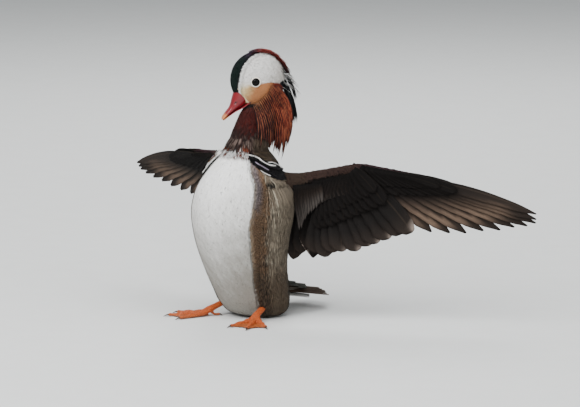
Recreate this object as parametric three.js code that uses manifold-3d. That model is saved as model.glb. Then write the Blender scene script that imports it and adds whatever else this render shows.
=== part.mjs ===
// A drake mandarin duck that rears up on its hind belly with both wings spread, at life size.
// Millimetres, +Z up. The bird faces -Y, +X is its left side, and z = 0 is what it rests on.
import * as THREE from "three";
import { mergeVertices } from "three/addons/utils/BufferGeometryUtils.js";
import Module from "manifold-3d";

const wasm = await Module();
wasm.setup();

// Driving dimensions
const GAP = 0.35; // clearance between touching nodes
const LEFT = 1;
const RIGHT = -1;

// The trunk, from the seat upwards: centre, half width, and reach to belly and back at each height.
const TRUNK = [
  { at: 0, y: 2, side: 23, belly: 21, back: 25 },
  { at: 5, y: 1, side: 34, belly: 32, back: 36 },
  { at: 14, y: -3, side: 40, belly: 38, back: 42 },
  { at: 30, y: -9, side: 44, belly: 42, back: 46 },
  { at: 60, y: -20, side: 50, belly: 46, back: 47 },
  { at: 95, y: -25, side: 58, belly: 52, back: 50 },
  { at: 126, y: -22, side: 62, belly: 57, back: 52 },
  { at: 150, y: -19, side: 56, belly: 53, back: 48 },
  { at: 168, y: -17, side: 45, belly: 43, back: 39 },
  { at: 182, y: -16, side: 34, belly: 33, back: 30 },
  { at: 190, y: -15, side: 26, belly: 25, back: 23 },
];
const TRUNK_RINGS = 17;
const TRUNK_SIDES = 32;

// The neck, from the top of the trunk to inside the head: centre and radius at each height.
const NECK = [
  { at: TRUNK.at(-1).at + GAP, x: 0, y: -16, r: 25.5 },
  { at: 198, x: 0.5, y: -14, r: 23.8 },
  { at: 214, x: 1.5, y: -9, r: 21.5 },
  { at: 230, x: 2.5, y: -3, r: 19 },
  { at: 250, x: 3, y: 0, r: 12 },
];
const NECK_RINGS = 8;
const NECK_SIDES = 24;

// The head is turned to the bird's right. It is drawn in its own frame: p to the nape, q up, l to its left.
const HEAD_CENTRE = new THREE.Vector3(3, 0, 268.6);
const HEAD_TURN = THREE.MathUtils.degToRad(38);
const HEAD_RADIUS = 33;
const HEAD_HALF_WIDTH = 19.5;
const BILL_PITCH = THREE.MathUtils.degToRad(47);
const EYE = { p: -6.2, q: -1, l: 15.2, radius: 6 };
const LID = { radius: 5.1, thick: 1.1 };
const NOSTRIL = { f: 36.8, u: 2.4, l: 7.5, long: 2.6, high: 1.1, deep: 1.5 };

// The bill's stations: half width, top, and line of the mouth at each distance from the head's centre.
const BILL = [
  { at: 24, half: 10.6, top: 13, mouth: -8, low: -11 },
  { at: 34, half: 8.4, top: 8.4, mouth: -6.6, low: -9 },
  { at: 44, half: 6.8, top: 3.3, mouth: -3.6, low: -5.4 },
  { at: 53, half: 6.2, top: 2.2, mouth: -1.8, low: -3.2 },
  { at: 60.5, half: 4.2, top: 1.7, mouth: -1.1, low: -2.3 },
];

// The ruff: rows of hackles on each cheek that hang beside the neck, from under the eye to the nape.
const RUFF = [
  {
    count: 7,
    from: [0, -24],
    to: [26, -13],
    tips: [[7, -68], [17, -84], [27, -79], [35, -69], [43, -52]],
    width: 8.5,
  },
  { count: 5, from: [-4, -21], to: [24, -8], tips: [[1, -52], [10, -66], [23, -64], [38, -42]], width: 9.5 },
  { count: 3, from: [-2, -14], to: [20, -5], tips: [[0, -38], [12, -48], [33, -31]], width: 11 },
];
const RUFF_CLEAR = 1.6; // from the neck to the innermost row
const RUFF_LAYER = 2.7; // from each row to the next one out
const RUFF_LEAST = 12; // the ruff hangs at least so far from the head's plane of symmetry
const HACKLE_SINK = 3.5;
const HACKLE_SETTLE = 0.3;
const HACKLE_TILT = [0.2, 0.16];

// The crest: tiers of plumes from the crown back over the nape, each a row across the head.
const CREST = [
  { count: 4, from: [25, 6], to: [45, -50], drop: 6, spread: [8, 6.5], bulge: 2.5, width: 5.6 },
  { count: 4, from: [24, 14], to: [46, -22], drop: 3, spread: [8, 6.5], bulge: 3.5, width: 5.6 },
  { count: 3, from: [18, 24], to: [40.5, -5], drop: 3, spread: [6.5, 5], bulge: 4, width: 7 },
];
const CREST_STAGGER = 1.4; // every other plume of a tier stands out so far over its neighbours
const CREST_SIDES = [
  { from: [17, 8, 10], to: [45, -17, 11], bulge: 3, width: 8, lean: 65 },
  { from: [19, -1, 9], to: [41, -32, 13], bulge: 3, width: 7, lean: 70 },
];
const PLUME_THICK = 1.1;

// Each wing swings back from the bird's side by its sweep, and its trailing edge by its tilt. Past the
// wrist the hand is lifted in the wing's plane and swings forward. Angles are in degrees.
// A wing's frame is s along the span, c down the chord and n to the back.
const SHOULDER = { x: 32, y: -3, z: 163 };
const WINGS = {
  left: { side: LEFT, sweep: 31, raise: 0, tilt: 0, lift: 0, swing: 0 },
  right: { side: RIGHT, sweep: 40.5, raise: -5, tilt: 27, lift: 17, swing: 16.5 },
};
const WRIST = { s: 94, c: -14.7 };
const WRIST_BEND = { from: 64, length: 60 };

// The fleshy part of the wing: its edges and thickness along the span.
const WING_CORE = [
  { at: -14, lead: -6, trail: 30, thick: 16 },
  { at: 0, lead: -6, trail: 34, thick: 15.5 },
  { at: 21, lead: -4, trail: 38, thick: 14 },
  { at: 48, lead: -8, trail: 42, thick: 12 },
  { at: 74, lead: -13, trail: 28, thick: 10.5 },
  { at: 94, lead: -16, trail: 12, thick: 9.5 },
  { at: 120, lead: -12.5, trail: 7, thick: 7.5 },
  { at: 144, lead: -8.5, trail: 6, thick: 5.5 },
  { at: 160, lead: -4, trail: 4, thick: 3.5 },
];
const WING_LENGTH = 300;
const WING_ARCH = 5;
const WING_CAMBER = { rise: 8, chord: 90 };

// Rows of wing feathers. Roots run from one end to the other, from the body outwards, tips along a curve.
// A row's rise is its height over the flight feathers at its roots and at its tips.
const PRIMARIES = {
  count: 10,
  roots: [[100, -8], [152, -1]],
  tips: [[177, 61], [221, 59.5], [262, 53.5], [292, 47], [295, 37.5]],
  width: [21, 12],
  lead: [0.36, 0.24],
  bow: 0.035,
  shape: "pointed",
  rise: [0, 0],
};
const SECONDARIES = {
  count: 8,
  roots: [[54, 28], [92, -6]],
  tips: [[42, 89], [64, 88], [86, 83], [111, 75.5], [131, 70], [155, 62]],
  width: [24, 23],
  lead: [0.42, 0.38],
  bow: 0.03,
  shape: "rounded",
  rise: [0, 0],
};
const TERTIALS = {
  count: 3,
  roots: [[26, 26], [44, 28]],
  tips: [[19, 96], [33, 84]],
  width: [22, 21],
  lead: [0.5, 0.45],
  bow: 0.02,
  shape: "rounded",
  rise: [4, 11],
};
const SAIL = {
  count: 1,
  roots: [[42, 30]],
  tips: [[41, 91]],
  width: [33, 33],
  lead: [0.5, 0.5],
  bow: 0.02,
  shape: "sail",
  rise: [4, 13],
};
// Coverts lie along the feathers of the row that they are over or under, for a share of their length.
const COVERTS = [
  { along: SECONDARIES, count: 6, reach: 0.45, rise: [3.4, 4.4], width: [22, 21] },
  { along: PRIMARIES, count: 5, reach: 0.38, rise: [2.6, 5], width: [15, 14] },
  { along: SECONDARIES, count: 6, reach: 0.5, rise: [-3.4, -4.6], width: [22, 21] },
  { along: PRIMARIES, count: 5, reach: 0.38, rise: [-2.6, -4.8], width: [15, 14] },
];
const ALULA = {
  count: 3,
  roots: [[84, -12], [95, -14]],
  tips: [[116, 2], [122, -5], [127, -11]],
  width: [9, 7],
  lead: [0.4, 0.4],
  bow: 0.03,
  shape: "covert",
  rise: [3, 6.5],
};
const VANE_THICK = 0.95;
const EDGE_THICK = 0.6;
const VANE_TILT = [0.17, 0.11]; // at root and tip: each feather's leading edge is the higher one
const VANE_STEP = 0.5; // from a row's feather nearest the body, each next one lies so far below

// The tail: rows of feathers fanned over each other, the middle ones on top.
const TAIL = [
  { at: 10, half: 19, z: 33, thick: 27 },
  { at: 30, half: 18, z: 30, thick: 20 },
  { at: 48, half: 16, z: 26.5, thick: 12 },
  { at: 62, half: 13, z: 23, thick: 6 },
];
const TAIL_SLOPE = { from: 30, z: 30, drop: 0.2 };
const TAIL_ROWS = [
  {
    count: 6,
    roots: [[2.5, 46], [12, 36]],
    tips: [[4, 106], [15, 104], [27, 95]],
    width: [16, 13],
    rise: [1, 2],
    shape: "rounded",
  },
  {
    count: 3,
    roots: [[3, 30], [13, 24]],
    tips: [[5, 80], [20, 66]],
    width: [17, 15],
    rise: [5, 5.5],
    shape: "covert",
  },
  {
    count: 2,
    roots: [[4, 34], [12, 26]],
    tips: [[6, 86], [18, 72]],
    width: [19, 17],
    rise: [-7, -7],
    shape: "covert",
  },
];
const TAIL_STEP = 1.25; // the middle feathers are on top, and each next one outwards lies so far below

// A feather's outline: its share of the full width at each share of the length, and whether its shaft is
// raised along the middle.
const SHAPES = {
  pointed: { shaft: true, rows: [[0, 0.3], [0.4, 1], [0.8, 0.66], [1, 0.14]] },
  rounded: { shaft: true, rows: [[0, 0.3], [0.5, 0.95], [0.86, 0.86], [1, 0.38]] },
  covert: { shaft: false, rows: [[0, 0.45], [0.6, 1], [0.88, 0.76], [1, 0.34]] },
  sail: { shaft: true, rows: [[0, 0.25], [0.35, 0.7], [0.65, 0.98], [0.88, 0.9], [1, 0.5]] },
  hackle: { shaft: false, rows: [[0, 0.5], [0.3, 0.95], [0.7, 0.78], [1, 0.12]] },
  plume: { shaft: false, rows: [[0, 0.6], [0.3, 1], [0.65, 0.85], [1, 0.14]] },
};

const LEGS = {
  left: { side: LEFT, heading: -28 },
  right: { side: RIGHT, heading: -44 },
};
const TARSUS = { from: [27, -14, 17], to: [34, -40, 8], radius: 3.6, ankle: 4.3 };
const TOES = [
  { spread: -30, length: 42 },
  { spread: 0, length: 47 },
  { spread: 28, length: 40 },
];
const TOE = { root: 4, radius: 3, tip: 1.7 };
const CLAW = { length: 6, radius: 1.4, tip: 0.35 };
const WEB = { thick: 1.4, z: 1.3 };
const HIND_TOE = { length: 11, radius: 1.5 };

const material = (colour, roughness) =>
  new THREE.MeshStandardMaterial({ color: colour, roughness, metalness: 0 });
const MATERIALS = {
  belly: material(0xe9e6df, 0.9),
  throat: material(0x4a2a22, 0.8),
  face: material(0xe8dfcf, 0.85),
  bill: material(0xb3242c, 0.35),
  eye: material(0x120d0b, 0.05),
  wing: material(0x4b3a33, 0.75),
  tail: material(0x473b30, 0.75),
  leg: material(0xd97a2b, 0.5),
};

const clamp = THREE.MathUtils.clamp;
const lerp = THREE.MathUtils.lerp;

// Reads a table of stations at x, on a smooth curve through them.
function smoothAt(stations, x) {
  const last = stations.length - 1;
  const next = stations.findIndex((station) => station.at > x);
  const i = clamp((next < 0 ? last : next) - 1, 0, last - 1);
  const [a, b] = [stations[i], stations[i + 1]];
  const span = b.at - a.at;
  const t = clamp((x - a.at) / span, 0, 1);
  const row = { at: x };
  for (const key of Object.keys(a)) {
    if (key === "at") continue;
    const slope = (j) => {
      const before = stations[Math.max(j - 1, 0)];
      const after = stations[Math.min(j + 1, last)];
      return ((after[key] - before[key]) / (after.at - before.at)) * span;
    };
    const tt = t * t;
    const ttt = tt * t;
    row[key] =
      (2 * ttt - 3 * tt + 1) * a[key] +
      (ttt - 2 * tt + t) * slope(i) +
      (3 * tt - 2 * ttt) * b[key] +
      (ttt - tt) * slope(i + 1);
  }
  return row;
}

// Makes a manifold solid of a closed geometry, with its faces turned outwards.
function solidOf(geometry) {
  const bare = new THREE.BufferGeometry();
  bare.setAttribute("position", geometry.getAttribute("position"));
  bare.setIndex(geometry.getIndex());
  const merged = mergeVertices(bare);
  const build = (triVerts) =>
    new wasm.Manifold(
      new wasm.Mesh({
        numProp: 3,
        vertProperties: merged.attributes.position.array,
        triVerts,
      }),
    );
  const triVerts = new Uint32Array(merged.index.array);
  const made = build(triVerts);
  if (made.volume() >= 0) return made;
  for (let i = 0; i < triVerts.length; i += 3)
    [triVerts[i + 1], triVerts[i + 2]] = [triVerts[i + 2], triVerts[i + 1]];
  return build(triVerts);
}

function solidFromFaces(points, faces) {
  const geometry = new THREE.BufferGeometry().setFromPoints(points);
  geometry.setIndex(faces.flat());
  return solidOf(geometry);
}

// Closes a stack of rings of points, each with the same count, into one solid.
function loft(rings) {
  const count = rings[0].length;
  const points = rings.flat();
  const faces = [];
  for (let r = 0; r + 1 < rings.length; r++)
    for (let k = 0; k < count; k++) {
      const a = r * count + k;
      const b = r * count + ((k + 1) % count);
      faces.push([a, b, b + count], [a, b + count, a + count]);
    }
  for (const [ring, flip] of [
    [0, false],
    [rings.length - 1, true],
  ]) {
    const centre = rings[ring]
      .reduce((sum, p) => sum.add(p), new THREE.Vector3())
      .divideScalar(count);
    const hub = points.push(centre) - 1;
    for (let k = 0; k < count; k++) {
      const a = ring * count + k;
      const b = ring * count + ((k + 1) % count);
      faces.push(flip ? [hub, a, b] : [hub, b, a]);
    }
  }
  return solidFromFaces(points, faces);
}

// A thin plate between two grids of points alike in rows and columns, split alike on both faces.
function plate(top, bottom) {
  const rows = top.length;
  const columns = top[0].length;
  const points = [...top.flat(), ...bottom.flat()];
  const under = rows * columns;
  const faces = [];
  for (let r = 0; r + 1 < rows; r++)
    for (let k = 0; k + 1 < columns; k++) {
      const a = r * columns + k;
      const [b, c, d] = [a + 1, a + columns + 1, a + columns];
      faces.push([a, b, c], [a, c, d]);
      faces.push([a + under, c + under, b + under], [a + under, d + under, c + under]);
    }
  const rim = [];
  for (let k = 0; k + 1 < columns; k++) rim.push(k);
  for (let r = 0; r + 1 < rows; r++) rim.push(r * columns + columns - 1);
  for (let k = columns - 1; k > 0; k--) rim.push((rows - 1) * columns + k);
  for (let r = rows - 1; r > 0; r--) rim.push(r * columns);
  rim.forEach((p, i) => {
    const q = rim[(i + 1) % rim.length];
    faces.push([q, p, p + under], [q, p + under, q + under]);
  });
  return solidFromFaces(points, faces);
}

// The largest closed surface of a solid, without loose scraps or sealed hollows.
function largest(solid) {
  const pieces = solid.decompose();
  return pieces.reduce((best, piece) => (piece.volume() > best.volume() ? piece : best));
}

const joined = (solids) => wasm.Manifold.union(solids);

// Points round an ellipse with its own reach to the belly and to the back.
function trunkRing(height, grow) {
  const row = smoothAt(TRUNK, height);
  return Array.from({ length: TRUNK_SIDES }, (_, k) => {
    const turn = (2 * Math.PI * k) / TRUNK_SIDES;
    const reach = Math.sin(turn) < 0 ? row.belly : row.back;
    return new THREE.Vector3(
      (row.side + grow) * Math.cos(turn),
      row.y + (reach + grow) * Math.sin(turn),
      height,
    );
  });
}

function trunkSolid(grow = 0) {
  const top = TRUNK.at(-1).at;
  const rings = [];
  if (grow) rings.push(trunkRing(0, grow).map((p) => p.setZ(-grow)));
  for (let i = 0; i <= TRUNK_RINGS; i++)
    rings.push(trunkRing(top * (i / TRUNK_RINGS) ** 1.25, grow));
  if (grow) rings.push(trunkRing(top, grow).map((p) => p.setZ(top + grow)));
  return loft(rings);
}

function neckSolid(grow = 0) {
  const [low, high] = [NECK[0].at, NECK.at(-1).at];
  const rings = Array.from({ length: NECK_RINGS + 1 }, (_, i) => {
    const row = smoothAt(NECK, lerp(low, high, i / NECK_RINGS));
    return Array.from({ length: NECK_SIDES }, (_, k) => {
      const turn = (2 * Math.PI * k) / NECK_SIDES;
      const reach = row.r + grow;
      return new THREE.Vector3(
        row.x + reach * Math.cos(turn),
        row.y + reach * Math.sin(turn),
        row.at,
      );
    });
  });
  return loft(rings);
}

// A point given in the head's frame.
function inHead(p, q, l) {
  const back = new THREE.Vector3(Math.sin(HEAD_TURN), Math.cos(HEAD_TURN), 0);
  const left = new THREE.Vector3(Math.cos(HEAD_TURN), -Math.sin(HEAD_TURN), 0);
  return HEAD_CENTRE.clone()
    .addScaledVector(back, p)
    .addScaledVector(left, l)
    .add(new THREE.Vector3(0, 0, q));
}

function headSolid(grow = 0) {
  const rings = 16;
  const sides = 24;
  const reach = HEAD_RADIUS + grow;
  const wide = HEAD_HALF_WIDTH + grow;
  const stack = [];
  for (let i = 1; i < rings; i++) {
    const lean = (Math.PI * i) / rings;
    stack.push(
      Array.from({ length: sides }, (_, k) => {
        const turn = (2 * Math.PI * k) / sides;
        const forward = reach * Math.cos(lean);
        const up = reach * Math.sin(lean) * Math.sin(turn);
        const out = wide * Math.sin(lean) * Math.cos(turn);
        return inHead(
          -forward * Math.cos(BILL_PITCH) - up * Math.sin(BILL_PITCH),
          -forward * Math.sin(BILL_PITCH) + up * Math.cos(BILL_PITCH),
          out,
        );
      }),
    );
  }
  return loft(stack);
}

// A ball in the head's frame.
function ballInHead(p, q, l, radius, sides = 14) {
  const ball = new THREE.SphereGeometry(radius, sides, sides / 2);
  const centre = inHead(p, q, l);
  ball.translate(centre.x, centre.y, centre.z);
  return solidOf(ball);
}

// A point of the bill: f forward along it, u up from its midline, l to its left.
function inBill(f, u, l) {
  return inHead(
    -f * Math.cos(BILL_PITCH) - u * Math.sin(BILL_PITCH),
    -f * Math.sin(BILL_PITCH) + u * Math.cos(BILL_PITCH),
    l,
  );
}

function billHalf(topKey, lowKey, drop) {
  const steps = 8;
  const sides = 12;
  const rings = Array.from({ length: steps + 1 }, (_, i) => {
    const row = smoothAt(BILL, lerp(BILL[0].at, BILL.at(-1).at, i / steps));
    const [high, low] = [row[topKey] - drop, row[lowKey]];
    return Array.from({ length: sides }, (_, k) => {
      const turn = (2 * Math.PI * k) / sides;
      const up = Math.sin(turn);
      return inBill(
        row.at,
        (high + low) / 2 + ((high - low) / 2) * Math.sign(up) * Math.abs(up) ** 0.8,
        row.half * Math.cos(turn),
      );
    });
  });
  return loft(rings);
}

// A point on a curve through points, at share t of the way.
function alongCurve(points, t) {
  const slot = t * (points.length - 1);
  const i = Math.min(Math.floor(slot), points.length - 2);
  const at = slot - i;
  const pick = (j) => points[clamp(j, 0, points.length - 1)];
  return pick(i).map((value, axis) => {
    const [before, a, b, after] = [pick(i - 1)[axis], value, pick(i + 1)[axis], pick(i + 2)[axis]];
    const [rise, fall] = [(b - before) / 2, (after - a) / 2];
    return (
      a + rise * at + (3 * (b - a) - 2 * rise - fall) * at ** 2 + (2 * (a - b) + rise + fall) * at ** 3
    );
  });
}

// One feather: a thin tapered plate along a bowed shaft. place(a, b, n) sets a point of the surface that
// it lies on, with n above it. Its leading edge is the side that a right turn from the shaft points to.
// It reaches its full rise by the share settle of its length.
function vane(place, { root, tip, width, lead = 0.5, bow = 0, rise, settle = 1, tilt = VANE_TILT, shape }) {
  const [dx, dy] = [tip[0] - root[0], tip[1] - root[1]];
  const middle = [(root[0] + tip[0]) / 2 + 2 * bow * dy, (root[1] + tip[1]) / 2 - 2 * bow * dx];
  const columns = shape.shaft ? [-(1 - lead), 0, lead] : [-(1 - lead), lead];
  const faces = [1, -1].map((face) =>
    shape.rows.map(([t, share]) => {
      const [near, half, far] = [(1 - t) ** 2, 2 * t * (1 - t), t ** 2];
      const at = [0, 1].map((k) => near * root[k] + half * middle[k] + far * tip[k]);
      const run = [0, 1].map((k) => (1 - t) * (middle[k] - root[k]) + t * (tip[k] - middle[k]));
      const length = Math.hypot(run[0], run[1]);
      const out = [run[1] / length, -run[0] / length];
      return columns.map((column) => {
        const x = column * width * share;
        const thick = column === 0 || !shape.shaft ? VANE_THICK : EDGE_THICK;
        const high = lerp(rise[0], rise[1], Math.min(t / settle, 1));
        const n = high + lerp(tilt[0], tilt[1], t) * x + (face * thick) / 2;
        return place(at[0] + out[0] * x, at[1] + out[1] * x, n);
      });
    }),
  );
  return plate(faces[0], faces[1]);
}

// A row of feathers, each a little lower than the one before it. A row that lies over another one sinks as
// much from end to end as that one does.
function vaneRow(place, row) {
  const sink = (row.step ?? VANE_STEP) * ((row.ranks ?? row.count) / row.count);
  return Array.from({ length: row.count }, (_, i) => {
    const t = row.count > 1 ? i / (row.count - 1) : 0;
    return vane(place, {
      root: alongCurve([row.roots[0], row.roots.at(-1)], t),
      tip: row.tips.length > 1 ? alongCurve(row.tips, t) : row.tips[0],
      width: lerp(row.width[0], row.width[1], t),
      lead: row.lead ? lerp(row.lead[0], row.lead[1], t) : 0.5,
      bow: row.bow,
      rise: row.rise.map((value) => value - sink * i),
      tilt: row.tilt,
      shape: SHAPES[row.shape],
    });
  });
}

// Turns what lies past the wrist by an angle, on an arc that starts and ends gently.
function bendPastWrist(s, x, angle) {
  if (angle === 0) return [s, x];
  const { from, length } = WRIST_BEND;
  const turn = angle * clamp((s - from) / length, 0, 1);
  const arc = length / angle;
  const past = Math.max(s - from - length, 0);
  return [
    Math.min(s, from) + arc * Math.sin(turn) + past * Math.cos(turn) + x * Math.sin(turn),
    x * Math.cos(turn) - arc * (1 - Math.cos(turn)) - past * Math.sin(turn),
  ];
}

// A wing's frame, from the shoulder, with n measured from its arched and cambered surface.
function wingPlace({ side, sweep, raise, tilt, lift, swing }) {
  const [back, up, twist, hand, forward] = [sweep, raise, tilt, lift, swing].map(THREE.MathUtils.degToRad);
  const flat = new THREE.Vector3(side * Math.cos(back), Math.sin(back), 0);
  const span = flat.clone().multiplyScalar(Math.cos(up)).add(new THREE.Vector3(0, 0, Math.sin(up)));
  const level = flat.clone().multiplyScalar(Math.sin(up)).add(new THREE.Vector3(0, 0, -Math.cos(up)));
  const away = new THREE.Vector3().crossVectors(span, level).multiplyScalar(side);
  const chord = level.clone().multiplyScalar(Math.cos(twist)).addScaledVector(away, Math.sin(twist));
  const dorsal = away.clone().multiplyScalar(Math.cos(twist)).addScaledVector(level, -Math.sin(twist));
  const root = new THREE.Vector3(side * SHOULDER.x, SHOULDER.y, SHOULDER.z);
  return (s, c, n) => {
    const arch = WING_ARCH * Math.sin((Math.PI * clamp(s, 0, WING_LENGTH)) / WING_LENGTH);
    const camber = WING_CAMBER.rise * (c / WING_CAMBER.chord) ** 2;
    const [inPlane, down] = bendPastWrist(s, c - WRIST.c, hand);
    const [out, high] = bendPastWrist(inPlane, n + arch - camber, forward);
    return root
      .clone()
      .addScaledVector(span, out)
      .addScaledVector(chord, down + WRIST.c)
      .addScaledVector(dorsal, high);
  };
}

function wingCore(place) {
  const steps = 11;
  const sides = 8;
  const rings = Array.from({ length: steps + 1 }, (_, i) => {
    const row = smoothAt(WING_CORE, lerp(WING_CORE[0].at, WING_CORE.at(-1).at, i / steps));
    return Array.from({ length: sides }, (_, k) => {
      const turn = (2 * Math.PI * k) / sides;
      return place(
        row.at,
        (row.lead + row.trail) / 2 - ((row.trail - row.lead) / 2) * Math.cos(turn),
        (row.thick / 2) * Math.sin(turn) * (1 + 0.5 * Math.cos(turn)),
      );
    });
  });
  return loft(rings);
}

function covertRow({ along, count, reach, rise, width }) {
  const tips = Array.from({ length: count }, (_, i) => {
    const t = i / (count - 1);
    const [root, tip] = [alongCurve(along.roots, t), alongCurve(along.tips, t)];
    return root.map((value, axis) => lerp(value, tip[axis], reach));
  });
  return { ...along, count, ranks: along.count, tips, width, rise, shape: "covert" };
}

function wing(pose) {
  const place = wingPlace(pose);
  const rows = [PRIMARIES, SECONDARIES, TERTIALS, SAIL, ALULA, ...COVERTS.map(covertRow)];
  return joined([wingCore(place), ...rows.flatMap((row) => vaneRow(place, row))]);
}

function tail() {
  const steps = 5;
  const sides = 14;
  const rings = Array.from({ length: steps + 1 }, (_, i) => {
    const row = smoothAt(TAIL, lerp(TAIL[0].at, TAIL.at(-1).at, i / steps));
    return Array.from({ length: sides }, (_, k) => {
      const turn = (2 * Math.PI * k) / sides;
      return new THREE.Vector3(row.half * Math.cos(turn), row.at, row.z + (row.thick / 2) * Math.sin(turn));
    });
  });
  const feathers = [LEFT, RIGHT].flatMap((side) => {
    const lap = side === LEFT ? TAIL_STEP / 2 : 0; // so that the two middle feathers lie one over the other
    const place = (x, y, n) =>
      new THREE.Vector3(side * x, y, TAIL_SLOPE.z - TAIL_SLOPE.drop * (y - TAIL_SLOPE.from) + n + lap);
    const flat = { tilt: [0, 0], step: TAIL_STEP };
    return TAIL_ROWS.flatMap((row) => vaneRow(place, { ...row, ...flat }));
  });
  return joined([loft(rings), ...feathers]);
}

// How far the ruff lies from the head's plane of symmetry, over the cheek and then beside the neck.
function ruffReach(p, q, side) {
  const row = smoothAt(NECK, Math.min(HEAD_CENTRE.z + q, NECK.at(-1).at));
  const [x, y] = [row.x - HEAD_CENTRE.x, row.y - HEAD_CENTRE.y];
  const middle = x * Math.sin(HEAD_TURN) + y * Math.cos(HEAD_TURN);
  const aside = side * (x * Math.cos(HEAD_TURN) - y * Math.sin(HEAD_TURN));
  const neck = aside + Math.sqrt(Math.max((row.r + RUFF_CLEAR) ** 2 - (p - middle) ** 2, 0));
  const cheek = HEAD_HALF_WIDTH * Math.sqrt(Math.max(1 - (p ** 2 + q ** 2) / HEAD_RADIUS ** 2, 0));
  const power = 6;
  return (Math.max(neck, 0) ** power + cheek ** power + RUFF_LEAST ** power) ** (1 / power);
}

function ruff(side) {
  const place = (p, q, n) => inHead(p, q, side * (ruffReach(p, q, side) + n));
  return RUFF.flatMap((row, layer) =>
    Array.from({ length: row.count }, (_, i) => {
      const t = i / (row.count - 1);
      const out = RUFF_LAYER * layer;
      return vane(place, {
        root: alongCurve([row.from, row.to], t),
        tip: alongCurve(row.tips, t),
        width: row.width,
        bow: -0.06,
        rise: [-HACKLE_SINK, out],
        settle: HACKLE_SETTLE,
        tilt: HACKLE_TILT,
        shape: SHAPES.hackle,
      });
    }),
  );
}

// One plume of the crest: a thin tapered plate that arches back from the head, with its face turned by its
// lean from the nape to the side.
function plume({ from, to, bulge, width, lean = 0 }) {
  const run = [to[0] - from[0], to[1] - from[1]];
  const length = Math.hypot(run[0], run[1]);
  const middle = [0, 1].map((k) => (from[k] + to[k]) / 2 + 2 * bulge * ([-run[1], run[0]][k] / length));
  const faces = [1, -1].map((face) =>
    SHAPES.plume.rows.map(([t, share]) => {
      const [near, half, far] = [(1 - t) ** 2, 2 * t * (1 - t), t ** 2];
      const at = [0, 1].map((k) => near * from[k] + half * middle[k] + far * to[k]);
      const along = [0, 1].map((k) => (1 - t) * (middle[k] - from[k]) + t * (to[k] - middle[k]));
      const slope = Math.hypot(along[0], along[1]);
      const out = [-along[1] / slope, along[0] / slope];
      return [-0.5, 0.5].map((column) => {
        const x = column * width * share;
        const n = (face * PLUME_THICK) / 2;
        const up = n * Math.cos(lean) - x * Math.sin(lean);
        const aside = x * Math.cos(lean) + n * Math.sin(lean);
        return inHead(at[0] + out[0] * up, at[1] + out[1] * up, lerp(from[2], to[2], t) + aside);
      });
    }),
  );
  return plate(faces[0], faces[1]);
}

function crest() {
  const back = CREST.flatMap(({ count, from, to, drop, spread, bulge, width }) =>
    Array.from({ length: count }, (_, i) => {
      const across = (2 * i) / (count - 1) - 1;
      return plume({
        from: [...from, across * spread[0]],
        to: [to[0], to[1] + drop * Math.abs(across), across * spread[1]],
        bulge: bulge + (i % 2) * CREST_STAGGER,
        width,
      });
    }),
  );
  const sides = [LEFT, RIGHT].flatMap((side) =>
    CREST_SIDES.map(({ from, to, lean, ...size }) =>
      plume({
        from: [from[0], from[1], side * from[2]],
        to: [to[0], to[1], side * to[2]],
        lean: THREE.MathUtils.degToRad(side * lean),
        ...size,
      }),
    ),
  );
  return [...back, ...sides];
}

// The raised rim of the lids round an eye.
function lids(side) {
  const ring = new THREE.TorusGeometry(LID.radius, LID.thick, 5, 14);
  const left = new THREE.Vector3(Math.cos(HEAD_TURN), -Math.sin(HEAD_TURN), 0);
  const turn = new THREE.Quaternion().setFromUnitVectors(new THREE.Vector3(0, 0, 1), left);
  const reach = Math.sqrt(EYE.radius ** 2 - LID.radius ** 2 + LID.thick ** 2);
  const centre = inHead(EYE.p, EYE.q, side * (EYE.l + reach));
  ring.applyQuaternion(turn);
  ring.translate(centre.x, centre.y, centre.z);
  return solidOf(ring);
}

function nostril(side) {
  const pit = new THREE.SphereGeometry(1, 8, 5);
  const places = pit.getAttribute("position");
  for (let i = 0; i < places.count; i++) {
    const at = inBill(
      NOSTRIL.f + NOSTRIL.long * places.getX(i),
      NOSTRIL.u + NOSTRIL.high * places.getY(i),
      side * (NOSTRIL.l + NOSTRIL.deep * places.getZ(i)),
    );
    places.setXYZ(i, at.x, at.y, at.z);
  }
  return solidOf(pit);
}

// A round limb along points, with a radius at each.
function limb(points, radii, sides = 8, stepsEach = 2) {
  const curve = new THREE.CatmullRomCurve3(points);
  const steps = stepsEach * (points.length - 1);
  const rings = Array.from({ length: steps + 1 }, (_, i) => {
    const t = i / steps;
    const at = curve.getPoint(t);
    const along = curve.getTangent(t);
    const slot = t * (radii.length - 1);
    const low = Math.min(Math.floor(slot), radii.length - 2);
    const radius = lerp(radii[low], radii[low + 1], slot - low);
    const sideways = new THREE.Vector3().crossVectors(along, new THREE.Vector3(0, 0, 1)).normalize();
    const upwards = new THREE.Vector3().crossVectors(sideways, along).normalize();
    return Array.from({ length: sides }, (_, k) => {
      const turn = (2 * Math.PI * k) / sides;
      return at
        .clone()
        .addScaledVector(sideways, radius * Math.cos(turn))
        .addScaledVector(upwards, radius * Math.sin(turn));
    });
  });
  return loft(rings);
}

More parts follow.
